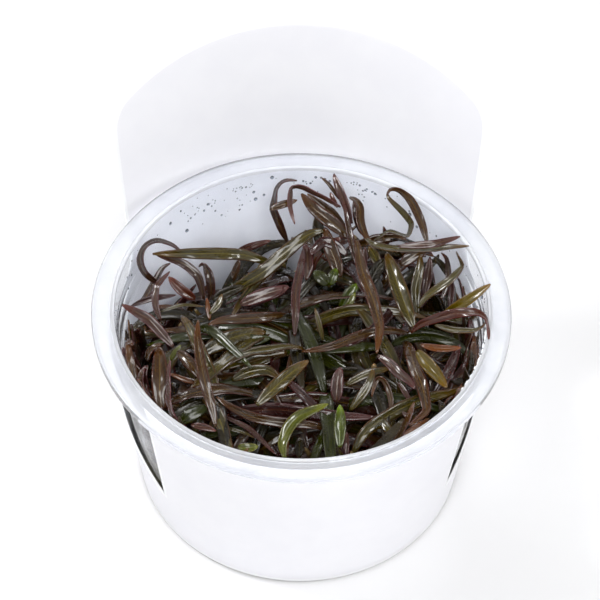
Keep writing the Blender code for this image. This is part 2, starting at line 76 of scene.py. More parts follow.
def seen_at(x, y, height):
    """The place at this height that the eye sees at x and y on the rim's plane."""
    on_rim = Vector((x, y, RIM_HEIGHT))
    return EYE + (on_rim - EYE) * ((EYE.z - height) / (EYE.z - RIM_HEIGHT))


def seen_from(point):
    """Where on the rim's plane the eye sees this point, as x and y."""
    on_rim = EYE + (point - EYE) * ((EYE.z - RIM_HEIGHT) / (EYE.z - point.z))
    return on_rim.x, on_rim.y


print("eye above the rim in mm:", round(EYE.z - RIM_HEIGHT))

# %% The camera
camera_data = bpy.data.cameras.new("camera")
camera_data.sensor_width = SENSOR_WIDTH
camera_data.lens = FOCAL_PIXELS / IMAGE_PIXELS * SENSOR_WIDTH
camera_data.clip_start = 0.01
camera = bpy.data.objects.new("camera", camera_data)
bpy.context.scene.collection.objects.link(camera)
level_right = SIGHT.cross(Vector((0, 0, 1))).normalized()
level_up = level_right.cross(SIGHT)
right = level_right * cos(ROLL) + level_up * sin(ROLL)
up = level_up * cos(ROLL) - level_right * sin(ROLL)
turned = Matrix((right, up, -SIGHT)).transposed().to_4x4()
camera.matrix_world = Matrix.Translation(EYE * MM) @ turned
bpy.context.scene.camera = camera
print("lens in mm:", round(camera_data.lens, 1))

# %% [markdown]
# ## Floor and light
#
# The real object stands on white under broad studio light. A pale world lifts every shadow. It is
# brighter round the horizon than overhead, like white walls under a dark ceiling, so the upright card
# is well lit while the leaves keep their deep colours. A few softboxes give the wet leaves their small
# bright highlights. One large lamp would give the same exposure but leave the leaves dull, because a
# highlight is a picture of its lamp.

# %% Floor
FLOOR_SIZE = 3.0


def paint(red, green, blue):
    """A colour picked on a 0 to 255 scale, as the linear values that shaders expect."""
    return tuple((v / 255) ** 2.2 for v in (red, green, blue)) + (1.0,)


floor_shape = bmesh.new()
bmesh.ops.create_grid(floor_shape, x_segments=1, y_segments=1, size=FLOOR_SIZE / 2)
floor_mesh = bpy.data.meshes.new("floor")
floor_shape.to_mesh(floor_mesh)
floor_shape.free()
floor = bpy.data.objects.new("floor", floor_mesh)
bpy.context.scene.collection.objects.link(floor)
floor_paint = bpy.data.materials.new("pale_floor")
floor_paint.use_nodes = True
floor_shader = floor_paint.node_tree.nodes["Principled BSDF"]
floor_shader.inputs["Base Color"].default_value = paint(232, 232, 233)
floor_shader.inputs["Roughness"].default_value = 0.9
floor_mesh.materials.append(floor_paint)
print("floor is", FLOOR_SIZE, "m wide")

# %% World and softboxes
HORIZON_STRENGTH, ZENITH_STRENGTH = 0.80, 0.26
SOFTBOXES = {
    "softbox_left": ((-0.42, 0.10, 0.62), 0.13, 1.9),
    "softbox_back": ((-0.06, 0.56, 0.42), 0.28, 1.3),
    "softbox_right": ((0.50, -0.15, 0.55), 0.14, 1.2),
    "softbox_front": ((0.00, -0.46, 0.70), 0.38, 3.4),
}
AIM = Vector((0, 0, 0.045))

world = bpy.data.worlds.new("studio")
world.use_nodes = True
sky = world.node_tree
background = sky.nodes["Background"]
background.inputs["Color"].default_value = (1, 1, 1, 1)
direction = sky.nodes.new("ShaderNodeTexCoord")
height = sky.nodes.new("ShaderNodeSeparateXYZ")
ramp = sky.nodes.new("ShaderNodeMapRange")
ramp.interpolation_type = "SMOOTHSTEP"
ramp.inputs["To Min"].default_value = HORIZON_STRENGTH
ramp.inputs["To Max"].default_value = ZENITH_STRENGTH
sky.links.new(direction.outputs["Generated"], height.inputs[0])
sky.links.new(height.outputs["Z"], ramp.inputs["Value"])
sky.links.new(ramp.outputs["Result"], background.inputs["Strength"])
bpy.context.scene.world = world
for name, (place, size, watts) in SOFTBOXES.items():
    lamp = bpy.data.lights.new(name, "AREA")
    lamp.shape = "SQUARE"
    lamp.size = size
    lamp.energy = watts
    box = bpy.data.objects.new(name, lamp)
    box.location = place
    box.rotation_euler = (AIM - Vector(place)).to_track_quat("-Z", "Y").to_euler()
    bpy.context.scene.collection.objects.link(box)
bpy.context.scene.view_settings.view_transform = "Standard"
print(len(SOFTBOXES), "softboxes")

# %% [markdown]
# ## Small tools for shaders
#
# Every finish below is a tree of shader nodes. These helpers keep each one short enough to read:
# `add_node` makes a node and fills its inputs with numbers or with other nodes' outputs, and
# `new_group` starts a node group, the shader's own kind of function. `new_finish` starts a material,
# and `set_looks` and `add_relief` fill the three inputs that every finish here works out.

# %% Node helpers
def feed(tree, socket, value):
    """Links an output to a socket, or sets the socket's own value."""
    if isinstance(value, bpy.types.NodeSocket):
        tree.links.new(value, socket)
    else:
        socket.default_value = value


def add_node(tree, kind, inputs, **settings):
    made = tree.nodes.new(kind)
    for name, value in settings.items():
        setattr(made, name, value)
    for socket, value in inputs.items():
        feed(tree, made.inputs[socket], value)
    return made


def calculate(tree, operation, first, second=0.0):
    return add_node(tree, "ShaderNodeMath", {0: first, 1: second}, operation=operation).outputs[0]


def fade(tree, value, low, high):
    """0 where the value is below low, 1 above high, and smooth between them."""
    inputs = {"Value": value, "From Min": low, "From Max": high}
    return add_node(tree, "ShaderNodeMapRange", inputs, interpolation_type="SMOOTHSTEP").outputs["Result"]


def spread(tree, value, low, high):
    """A value between 0 and 1, spread out from low to high."""
    inputs = {"Value": value, "To Min": low, "To Max": high}
    return add_node(tree, "ShaderNodeMapRange", inputs).outputs["Result"]


def tint(tree, share, first, second):
    """A mix of two colours: 0 gives the first and 1 the second."""
    mixer = add_node(tree, "ShaderNodeMix", {0: share, 6: first, 7: second}, data_type="RGBA")
    return mixer.outputs[2]


def grain(tree, vector, scale, detail=2.0):
    inputs = {"Vector": vector, "Scale": scale, "Detail": detail}
    return add_node(tree, "ShaderNodeTexNoise", inputs).outputs[0]


def new_group(name, inputs, outputs):
    tree = bpy.data.node_groups.new(name, "ShaderNodeTree")
    for label, kind in inputs.items():
        tree.interface.new_socket(name=label, in_out="INPUT", socket_type=kind)
    for label, kind in outputs.items():
        tree.interface.new_socket(name=label, in_out="OUTPUT", socket_type=kind)
    return tree, tree.nodes.new("NodeGroupInput").outputs, tree.nodes.new("NodeGroupOutput").inputs


def use_group(tree, group, inputs):
    made = tree.nodes.new("ShaderNodeGroup")
    made.node_tree = group
    for socket, value in inputs.items():
        feed(tree, made.inputs[socket], value)
    return made.outputs


print("node helpers ready")

# %% Finish helpers
def new_finish(name, inputs):
    """A material with these constants on its shader, its node tree and that shader."""
    finish = bpy.data.materials.new(name)
    finish.use_nodes = True
    shader = finish.node_tree.nodes["Principled BSDF"]
    for socket, value in inputs.items():
        shader.inputs[socket].default_value = value
    return finish, finish.node_tree, shader


def object_place(tree):
    """Where a point lies in the piece's own coordinates, in metres."""
    return add_node(tree, "ShaderNodeTexCoord", {}).outputs["Object"]


def remembered(tree, name):
    """The number that each vertex keeps under this name."""
    return add_node(tree, "ShaderNodeAttribute", {}, attribute_name=name).outputs["Fac"]


def set_looks(tree, shader, colour, mask, rough):
    """Sets the colour, and a roughness that follows the mask through this range."""
    feed(tree, shader.inputs["Base Color"], colour)
    feed(tree, shader.inputs["Roughness"], spread(tree, mask, *rough))


def add_relief(tree, shader, height, strength, depth):
    """Bumps that follow this height, with their depth in metres."""
    bumps = add_node(tree, "ShaderNodeBump", {"Strength": strength, "Distance": depth, "Height": height})
    feed(tree, shader.inputs["Normal"], bumps.outputs[0])


print("finish helpers ready")

# %% [markdown]
# ## Two shared effects
#
# Nothing on this object is perfectly even. `soft_mottle` is slow, cloudy variation, which every finish
# uses. `blade_marks` draws what every leaf has: a pale midrib, a darker margin, side veins that leave
# the midrib at a slant, long streaks, and the relief that they give. As node groups they are built
# once, and each material uses them with its own numbers.

# %% The mottle group
FLOAT, VECTOR = "NodeSocketFloat", "NodeSocketVector"
FINER, COARSE_SHARE, FINER_SHARE = 5.3, 0.7, 0.3
MOTTLE_EDGE = 0.32, 0.68

soft_mottle, start, end = new_group("soft_mottle", {"Vector": VECTOR, "Scale": FLOAT}, {"Value": FLOAT})
coarse = grain(soft_mottle, start["Vector"], start["Scale"], 3.0)
finer_scale = calculate(soft_mottle, "MULTIPLY", start["Scale"], FINER)
finer = grain(soft_mottle, start["Vector"], finer_scale, 2.0)
both = calculate(soft_mottle, "ADD", calculate(soft_mottle, "MULTIPLY", coarse, COARSE_SHARE),
                 calculate(soft_mottle, "MULTIPLY", finer, FINER_SHARE))
feed(soft_mottle, end["Value"], fade(soft_mottle, both, *MOTTLE_EDGE))


def mottle(tree, scale):
    """The cloudy variation, between 0 and 1, at this scale on the piece."""
    return use_group(tree, soft_mottle, {"Vector": object_place(tree), "Scale": scale})["Value"]


print("group", soft_mottle.name)

# %% The blade group
VEIN_SPACING, VEIN_SLANT = 1.3, 2.2
RIB_EDGE = 0.02, 0.12
RIB_END = 0.7, 1.0
MARGIN_EDGE = 0.70, 0.97
VEIN_EDGE = 0.55, 1.0
STREAKS_ACROSS, STREAKS_ALONG = 9.0, 0.16
STREAK_EDGE = 0.34, 0.66
VEIN_RELIEF, STREAK_RELIEF, RIB_RELIEF = 0.35, 0.1, 0.8

blade_marks, start, end = new_group(
    "blade_marks", {"Vector": VECTOR, "Share": FLOAT},
    {"Rib": FLOAT, "Margin": FLOAT, "Veins": FLOAT, "Streaks": FLOAT, "Height": FLOAT})
times = partial(calculate, blade_marks, "MULTIPLY")
less = partial(calculate, blade_marks, "SUBTRACT")
parts = add_node(blade_marks, "ShaderNodeSeparateXYZ", {0: start["Vector"]}).outputs
outward = times(calculate(blade_marks, "ABSOLUTE", less(parts["X"], 0.5)), 2.0)
rib = less(1.0, fade(blade_marks, outward, *RIB_EDGE))
rib = times(rib, less(1.0, fade(blade_marks, start["Share"], *RIB_END)))
margin = fade(blade_marks, outward, *MARGIN_EDGE)
slanted = less(parts["Y"], times(outward, VEIN_SLANT))
wave = calculate(blade_marks, "SINE", times(slanted, 2 * pi / VEIN_SPACING))
veins = times(fade(blade_marks, wave, *VEIN_EDGE), less(1.0, margin))
stretched = {"X": times(parts["X"], STREAKS_ACROSS), "Y": times(parts["Y"], STREAKS_ALONG), "Z": parts["Z"]}
lengthways = add_node(blade_marks, "ShaderNodeCombineXYZ", stretched).outputs[0]
streaks = fade(blade_marks, grain(blade_marks, lengthways, 1.0, 3.0), *STREAK_EDGE)
relief = calculate(blade_marks, "ADD", times(veins, VEIN_RELIEF), times(streaks, STREAK_RELIEF))
relief = less(relief, times(rib, RIB_RELIEF))
marks = {"Rib": rib, "Margin": margin, "Veins": veins, "Streaks": streaks, "Height": relief}
for label, value in marks.items():
    feed(blade_marks, end[label], value)
print("group", blade_marks.name)

# %% [markdown]
# ## One way to make curved sheets
#
# Card, leaf blades and stems are all sheets bent to a rule. `wrapped_grid` makes a flat grid with
# Blender's operator and then asks a rule where each point goes. `spin_section` turns a round piece, as
# a lathe does. `finish_piece` makes the mesh an object that moves with the CAD model and stands for
# its plain solids.

# %% Mesh helpers
def wrapped_grid(bm, across, along, place):
    """A grid of this many faces, with each vertex put where place(vert, u, v) says, in millimetres."""
    made = bmesh.ops.create_grid(bm, x_segments=across, y_segments=along, size=0.5)["verts"]
    for vert in made:
        vert.co = place(vert, vert.co.x + 0.5, vert.co.y + 0.5) * MM
    return made


def tidy(bm, gap=0.002):
    bmesh.ops.remove_doubles(bm, verts=bm.verts, dist=gap * MM)
    bmesh.ops.dissolve_degenerate(bm, edges=bm.edges, dist=gap * MM)
    bmesh.ops.recalc_face_normals(bm, faces=bm.faces)


def finish_piece(name, bm, finish, nodes=(), sharp=40):
    """The finished mesh as an object that rides on the one body and stands for these CAD nodes."""
    mesh = bpy.data.meshes.new(name)
    bm.to_mesh(mesh)
    bm.free()
    mesh.materials.append(finish)
    mesh.shade_smooth()
    mesh.set_sharp_from_angle(angle=radians(sharp))
    piece = bpy.data.objects.new(name, mesh)
    bpy.context.scene.collection.objects.link(piece)
    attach(piece, "root")
    if nodes:
        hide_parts(*nodes)
    return piece


def solidify(piece, thickness, offset):
    wall = piece.modifiers.new("thickness", "SOLIDIFY")
    wall.thickness = thickness * MM
    wall.offset = offset


def spin_section(section, steps):
    """A solid of revolution, from half of its section as (radius, height) in millimetres."""
    bm = bmesh.new()
    ring = [bm.verts.new((r * MM, 0, z * MM)) for r, z in section]
    lines = [bm.edges.new(pair) for pair in zip(ring, ring[1:])]
    bmesh.ops.spin(bm, geom=ring + lines, cent=(0, 0, 0), axis=(0, 0, 1), angle=2 * pi, steps=steps,
                   use_merge=True, use_duplicate=False)
    tidy(bm)
    return bm


print("mesh helpers ready")

# %% [markdown]
# ## The cup
#
# The cup is one thin moulding of clear plastic: a flat foot, a slightly tapered wall, a small step that
# lets empty cups nest, a round bead at the mouth, and a wide flange with a turned-down lip. A potter
# would throw it, and Blender can do the same: draw half of its section once and spin it.

# %% The cup's measures
FLANGE_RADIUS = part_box("cup")[1].x / MM
WALL = 0.8
FLOOR_THICKNESS = 1.2
BASE_RADIUS = 40.0
BASE_RECESS = 0.5
FOOT_WIDTH = 5.0
FOOT_ROUND_IN, FOOT_ROUND_OUT = 1.5, 1.2
LEDGE_LOW, LEDGE_HIGH = 47.0, 50.0
LEDGE_RADIUS_LOW, LEDGE_RADIUS_HIGH = 44.3, 44.9
MOUTH_RADIUS = 44.5
COLLAR_RADIUS = 45.0
BEAD_RADIUS = 45.5
BEAD_ROUND = 0.45
RIDGE = 0.25
FLANGE_THICKNESS = 0.9
DIMPLE = 0.06
LIP_DROP = 1.9
LIP_ROUND = 0.2
CUP_STEPS = 180


def arc(centre_r, centre_z, radius, first, last, steps):
    """Section points on an arc, with angles in degrees from the outward direction."""
    angles = [radians(first + (last - first) * k / steps) for k in range(steps + 1)]
    return [(centre_r + radius * cos(a), centre_z + radius * sin(a)) for a in angles]


def inner_radius(z):
    """The radius of the cup's inner wall at this height."""
    if z < LEDGE_LOW:
        return BASE_RADIUS - WALL + (LEDGE_RADIUS_LOW - BASE_RADIUS) * z / LEDGE_LOW
    if z < LEDGE_HIGH:
        share = (z - LEDGE_LOW) / (LEDGE_HIGH - LEDGE_LOW)
        return LEDGE_RADIUS_LOW - WALL + (LEDGE_RADIUS_HIGH - LEDGE_RADIUS_LOW) * share
    share = (z - LEDGE_HIGH) / (RIM_HEIGHT - LEDGE_HIGH)
    return LEDGE_RADIUS_HIGH - WALL + (MOUTH_RADIUS - LEDGE_RADIUS_HIGH + WALL) * share


print("inner radius in mm, from foot to rim:", [round(inner_radius(z), 1) for z in (0, 20, 40, RIM_HEIGHT)])

# %% The cup's section
def cup_section():
    lip = FLANGE_THICKNESS / 2
    foot = BASE_RADIUS - FOOT_WIDTH
    lip_inside = FLANGE_RADIUS - WALL
    lip_end = RIM_HEIGHT - LIP_DROP + LIP_ROUND
    under_flange = RIM_HEIGHT - FLANGE_THICKNESS
    round_in, round_out = FOOT_ROUND_IN, FOOT_ROUND_OUT
    section = [(0.0, FLOOR_THICKNESS), (foot, FLOOR_THICKNESS)]
    section += arc(inner_radius(2.7) - round_in, FLOOR_THICKNESS + round_in, round_in, -80, 0, 6)
    section += [(inner_radius(z), z) for z in (12, 22, 32, 40, 45.8)]
    section += [(inner_radius(46.4) - RIDGE, 46.4), (inner_radius(47.0), 47.1), (inner_radius(49.2), 49.2)]
    section += [(inner_radius(49.8) - RIDGE, 49.8), (inner_radius(50.4), 50.4)]
    section += [(inner_radius(z), z) for z in (53, 56, 57.2)]
    section += arc(MOUTH_RADIUS + BEAD_ROUND, RIM_HEIGHT - 0.1, BEAD_ROUND, 180, 45, 7)
    section += [(BEAD_RADIUS, RIM_HEIGHT), (BEAD_RADIUS + 0.5, RIM_HEIGHT - DIMPLE)]
    section += [(FLANGE_RADIUS - 1.3, RIM_HEIGHT - DIMPLE), (FLANGE_RADIUS - 0.9, RIM_HEIGHT)]
    section += arc(FLANGE_RADIUS - lip, RIM_HEIGHT - lip, lip, 90, 0, 6)
    section += arc(FLANGE_RADIUS - LIP_ROUND, lip_end, LIP_ROUND, 0, -90, 3)
    section += arc(lip_inside + LIP_ROUND, lip_end, LIP_ROUND, 270, 180, 3)
    section += arc(lip_inside - 0.4, under_flange - 0.4, 0.4, 0, 90, 4)
    section += arc(COLLAR_RADIUS + 0.5, under_flange - 0.5, 0.5, 90, 180, 4)
    section += [(LEDGE_RADIUS_HIGH + 0.03, LEDGE_HIGH + 0.4), (LEDGE_RADIUS_HIGH, LEDGE_HIGH - 0.3)]
    section += [(LEDGE_RADIUS_LOW, LEDGE_LOW), (BASE_RADIUS + 4.0, 37.6), (BASE_RADIUS + 2.0, 18.8)]
    section += arc(BASE_RADIUS - round_out, round_out, round_out, 0, -90, 6)
    section += [(foot + 0.8, 0.0), (foot, BASE_RECESS), (0.0, BASE_RECESS)]
    return section


print("section points:", len(cup_section()))

# %% Spin the section
cup = spin_section(cup_section(), CUP_STEPS)
print("cup faces:", len(cup.faces))

# %% [markdown]
# Clear moulded plastic lets nearly all light through and is never optically flat. The flange and bead
# are the same plastic with a fine satin texture, which keeps a little light for a cold white haze. One
# finish could not be both clear and hazy, because the export reads one transmission for each finish,
# so the cup has three: for the wall, the flange, and the solid bead at the mouth, which is the
# thickest part and gathers the light that travels inside the flange. The wall bends light less than
# its plastic would, because so thin a wall hardly shifts what is behind it, and a full mirror at
# grazing angles would hide the leaves in the slits. All three have faint bumps from the mottle group.
# The cup casts no shadow: real thin plastic lights what it covers almost as brightly as air does,
# while a renderer's shadow rays would stop at it and leave the inside dim.

# %% The plastic
HAZE_SCALE, SWIRL_SCALE = 60.0, 220.0


def plastic_finish(name, clear, bend, colours, rough):
    """Plastic that lets this share of light through, bends it so, and has these ranges of looks."""
    finish, tree, shader = new_finish(name, {"Transmission Weight": clear, "IOR": bend})
    haze = mottle(tree, HAZE_SCALE)
    set_looks(tree, shader, tint(tree, haze, *colours), haze, rough)
    add_relief(tree, shader, mottle(tree, SWIRL_SCALE), strength=0.02, depth=0.0002)
    return finish


WALL_TINTS = paint(229, 232, 237), paint(237, 239, 243)
RIM_TINTS = paint(223, 225, 231), paint(232, 234, 238)
WALL_ROUGHNESS, RIM_ROUGHNESS = (0.01, 0.04), (0.12, 0.20)
WALL_BEND, RIM_BEND = 1.12, 1.42
clear_wall = plastic_finish("clear_wall_finish", 1.0, WALL_BEND, WALL_TINTS, WALL_ROUGHNESS)
satin_rim = plastic_finish("satin_rim_finish", 0.70, RIM_BEND, RIM_TINTS, RIM_ROUGHNESS)
thick_bead = plastic_finish("thick_bead_finish", 0.40, RIM_BEND, RIM_TINTS, RIM_ROUGHNESS)
print("plastics:", clear_wall.name, satin_rim.name, thick_bead.name)

# %% Give each part of the cup its plastic
SATIN_FROM = 56.8
BEAD_REACH = BEAD_RADIUS + 0.2
RIM_SLOT, BEAD_SLOT = 1, 2

for face in cup.faces:
    middle = face.calc_center_median() / MM
    if middle.z > SATIN_FROM:
        face.material_index = BEAD_SLOT if middle.xy.length < BEAD_REACH else RIM_SLOT
cup_piece = finish_piece("clear_cup", cup, clear_wall, ["cup"], sharp=35)
cup_piece.data.materials.append(satin_rim)
cup_piece.data.materials.append(thick_bead)
cup_piece.visible_shadow = False

# %% [markdown]
# ## The card sleeve
#
# One die-cut card is glued into a ring round the cup. In front its edge tucks under the flange. At the
# back it is taller: above two side slits it springs free of the cup, opens out flatter and stands as
# a round-shouldered header. It could be a flat card bent by a modifier, but the cone of the lower part
# and the open curve of the upper part differ, so each point is placed by the rule of its own panel.

# %% The card's measures
CARD = 0.4
CARD_BOTTOM = 0.8
CARD_INNER_BASE = 40.3
CARD_SLOPE = 0.112
FRONT_TOP = 56.2
SLIT_LEFT, SLIT_RIGHT = radians(-51.1), radians(57.2)
SLIT_HEIGHT, SLIT_TILT = 16.5, 1.5
HEADER_TOP = 95.3
HEADER_ARC = 85.6
HEADER_HALF_WIDTH = 48.4
SHOULDER_RADIUS = 9.0
WING_FILLET, WING_TURN, WING_FOOT = 16.0, 60, 52.0
SPREAD_FROM, SPREAD_LENGTH, SPREAD_AMOUNT, SPREAD_POWER = 18.0, 40.0, 0.285, 1.85
BACK_LEAN = 0.095
TOP_STEPS, SHOULDER_STEPS, FILLET_STEPS, WING_STEPS = 16, 12, 8, 14


def card_inner(z):
    return CARD_INNER_BASE + CARD_SLOPE * z


def slit_height(angle):
    return SLIT_HEIGHT - SLIT_TILT * sin(angle)


def wrap_front(angle, z):
    """A place on the card's inner face: angle 0 is the front, and grows towards +X."""
    return Vector((card_inner(z) * sin(angle), -card_inner(z) * cos(angle), z))


def wrap_back(angle, z):
    """A place on the rear panel, which opens out flatter above the slits to clear the flange."""
    rise = max(0.0, (z - SPREAD_FROM) / SPREAD_LENGTH)
    radius = card_inner(z) * (1 + SPREAD_AMOUNT * rise ** SPREAD_POWER)
    back = card_inner(z) + BACK_LEAN * max(0.0, z - SPREAD_FROM)
    turn = angle * card_inner(z) / radius
    return Vector((radius * sin(turn), back - radius + radius * cos(turn), z))


def wrap_header(u, z):
    """A place on the rear panel, u millimetres of card from its middle line."""
    return wrap_back(u / card_inner(z), z)


print("card from", CARD_BOTTOM, "to", HEADER_TOP, "mm")

# %% The card's outline
def header_half():
    """The header's outline from the top's middle out to its straight side, as (u, z)."""
    corner_u = HEADER_HALF_WIDTH - SHOULDER_RADIUS
    centre_z = HEADER_TOP - HEADER_ARC
    corner_z = centre_z + sqrt((HEADER_ARC - SHOULDER_RADIUS) ** 2 - corner_u ** 2)
    meet = acos((corner_z - centre_z) / (HEADER_ARC - SHOULDER_RADIUS))
    points = []
    for k in range(TOP_STEPS):
        angle = meet * k / TOP_STEPS
        points.append((HEADER_ARC * sin(angle), centre_z + HEADER_ARC * cos(angle)))
    for k in range(SHOULDER_STEPS + 1):
        angle = meet + (pi / 2 - meet) * k / SHOULDER_STEPS
        points.append((corner_u + SHOULDER_RADIUS * sin(angle), corner_z + SHOULDER_RADIUS * cos(angle)))
    return points


def wing_half(tip_angle, tip_z):
    """The edge from the foot of the header's side down to the slit's end, as (u, z)."""
    points = []
    for k in range(1, FILLET_STEPS + 1):
        turn = radians(WING_TURN * k / FILLET_STEPS)
        out, down = WING_FILLET * (1 - cos(turn)), WING_FILLET * sin(turn)
        points.append((HEADER_HALF_WIDTH + out, WING_FOOT - down))
    last_u, last_z = points[-1]
    tip_u = tip_angle * card_inner(tip_z)
    for k in range(1, WING_STEPS + 1):
        share = k / WING_STEPS
        points.append((last_u + (tip_u - last_u) * share, last_z + (tip_z - last_z) * share))
    return points


header = header_half()
outlines = []
for side, slit in ((-1, SLIT_LEFT), (1, SLIT_RIGHT)):
    outlines.append([(side * u, z) for u, z in header + wing_half(pi - abs(slit), slit_height(slit))])
print("outline points:", sum(len(line) for line in outlines))

# %% [markdown]
# Each vertex also remembers how far it lies from the card's cut edge. A material can read such an
# attribute, so a border can follow the die-cut outline exactly.

# %% Panels, and how far they are from a cut
FRONT_COLUMNS, FRONT_ROWS, BACK_ROWS, HEADER_ROWS, FOOT_ROWS = 60, 16, 14, 24, 4
CARD_GAP = 0.02

sleeve = bmesh.new()
from_edge = sleeve.verts.layers.float.new("from_edge")


def add_panel(columns, rows, wrap, mark_edge):
    """A panel of card: columns of (across, low, high), and rows from low to high."""
    def place(vert, u, v):
        across, low, high = columns[round(u * (len(columns) - 1))]
        z = low + (high - low) * v
        mark_edge(vert, across, z)
        return wrap(across, z)
    wrapped_grid(sleeve, len(columns) - 1, rows, place)


def mark_front(vert, angle, z):
    edge = min(z - CARD_BOTTOM, FRONT_TOP - z)
    if z > SLIT_HEIGHT:
        edge = min(edge, (angle - SLIT_LEFT) * card_inner(z), (SLIT_RIGHT - angle) * card_inner(z))
    vert[from_edge] = edge


def off_line(u, z, start, end):
    """How far the point (u, z) lies from the straight line between two points of the outline."""
    along_u, along_z = end[0] - start[0], end[1] - start[1]
    share = ((u - start[0]) * along_u + (z - start[1]) * along_z) / (along_u ** 2 + along_z ** 2)
    share = min(max(share, 0.0), 1.0)
    return hypot(u - start[0] - share * along_u, z - start[1] - share * along_z)


def mark_back(vert, u, z):
    edge = min(off_line(u, z, a, b) for line in outlines for a, b in zip(line, line[1:]))
    vert[from_edge] = min(edge, z - CARD_BOTTOM)


print("columns in front:", FRONT_COLUMNS)

# %% Lay out the panels
front = [SLIT_LEFT + (SLIT_RIGHT - SLIT_LEFT) * k / FRONT_COLUMNS for k in range(FRONT_COLUMNS + 1)]
add_panel([(a, slit_height(a), FRONT_TOP) for a in front], FRONT_ROWS, wrap_front, mark_front)
add_panel([(a, CARD_BOTTOM, slit_height(a)) for a in front], FOOT_ROWS, wrap_front, mark_front)

back = []
for side, slit in ((-1, SLIT_LEFT), (1, SLIT_RIGHT)):
    edge_line = [(u / card_inner(WING_FOOT), WING_FOOT) for u, z in header]
    edge_line += [(u / card_inner(z), z) for u, z in wing_half(pi - abs(slit), slit_height(slit))]
    back += [(side * angle, slit_height(pi - side * angle), z) for angle, z in edge_line]
back = sorted(set(back))


def mark_wrapped(vert, angle, z):
    mark_back(vert, angle * card_inner(z), z)


add_panel([(a, CARD_BOTTOM, low) for a, low, high in back], FOOT_ROWS, wrap_back, mark_wrapped)
add_panel(back, BACK_ROWS, wrap_back, mark_wrapped)
top = sorted({(side * u, WING_FOOT, z) for side in (-1, 1) for u, z in header})
add_panel(top, HEADER_ROWS, wrap_header, mark_back)
tidy(sleeve, CARD_GAP)
print("card faces:", len(sleeve.faces))

# %% [markdown]
# White coated board is bright, a little cold, and smooth but fibrous. A pale cool tone fills it up to a
# hair-thin whiter border that follows the cut edge. An image would fix that line to one resolution,
# but an attribute keeps it sharp at any distance.

# %% The board
BORDER, BORDER_FADE = 1.1, 0.3
CLOUD_SCALE, FIBRE_SCALE = 35.0, 2600.0
CUT_SOFTNESS, CUT_ANGLE = 0.08, 60

white_board, tree, shader = new_finish("white_board_finish", {"Specular IOR Level": 0.35})
inside = fade(tree, remembered(tree, "from_edge"), BORDER - BORDER_FADE, BORDER)
ground = tint(tree, mottle(tree, CLOUD_SCALE), paint(235, 235, 240), paint(239, 239, 243))
fibre = grain(tree, object_place(tree), FIBRE_SCALE, 3.0)
set_looks(tree, shader, tint(tree, inside, paint(248, 249, 251), ground), fibre, (0.38, 0.55))
add_relief(tree, shader, fibre, strength=0.10, depth=0.0001)

card_piece = finish_piece("card_wrap", sleeve, white_board, ["card_sleeve"])
solidify(card_piece, CARD, 1.0)
soften = card_piece.modifiers.new("cut_edge", "BEVEL")
soften.width = CUT_SOFTNESS * MM
soften.segments = 2
soften.limit_method = "ANGLE"
soften.angle_limit = radians(CUT_ANGLE)
print("border in mm:", BORDER)

# %% [markdown]
# ## The gel
#
# The shoots were started in a disc of cloudy nutrient jelly. It creeps up the wall a little where it
# meets the plastic, so its section has a raised rim, and it is spun like the cup.

# %% The gel
WALL_GAP = 0.3
GEL_LOW, GEL_TOP = FLOOR_THICKNESS + WALL_GAP, 11.5
GEL_STEPS = 96
JELLY_SCALE = 90.0

rim_radius = inner_radius(GEL_TOP) - WALL_GAP
gel_section = [(0.0, GEL_TOP - 0.5), (rim_radius - 9, GEL_TOP - 0.5), (rim_radius - 3, GEL_TOP - 0.4)]
gel_section += [(rim_radius - 0.9, GEL_TOP - 0.15), (rim_radius - 0.2, GEL_TOP), (rim_radius, GEL_TOP - 0.1)]
gel_section += [(inner_radius(6) - WALL_GAP, 6), (inner_radius(3) - WALL_GAP, 3)]
gel_section += [(inner_radius(3) - 1.4, GEL_LOW + 0.2), (inner_radius(3) - 2.4, GEL_LOW), (0.0, GEL_LOW)]
gel = spin_section(gel_section, GEL_STEPS)

jelly, tree, shader = new_finish("jelly_finish", {
    "Subsurface Weight": 0.4, "Subsurface Radius": (0.004, 0.004, 0.003), "Coat Weight": 0.5})
cloud = mottle(tree, JELLY_SCALE)
set_looks(tree, shader, tint(tree, cloud, paint(150, 142, 112), paint(178, 172, 146)), cloud, (0.18, 0.38))
add_relief(tree, shader, cloud, strength=0.3, depth=0.0006)
finish_piece("gel_disc", gel, jelly, ["growth_gel"])
print("gel top at", GEL_TOP, "mm")

# %% [markdown]
# ## Leaf finishes
#
# These leaves are thick-skinned and wet. Each has its own hue, from fresh green through olive and brown
# to rose, but the build is the same: two blade tones in long streaks, a darker or rosier margin, a pale
# rib, a lighter tip, and a film of water on top. One function makes them all from five colours:
# blade, deep, margin, rib and tip. Leaves in the shade of others are damp rather than wet.

# %% Leaf finish
PATCH_SCALE, FILM_SCALE = 170.0, 420.0
TIP_EDGE = 0.72, 1.0
FILM_LEAST, FILM_RELIEF = 0.4, 0.12


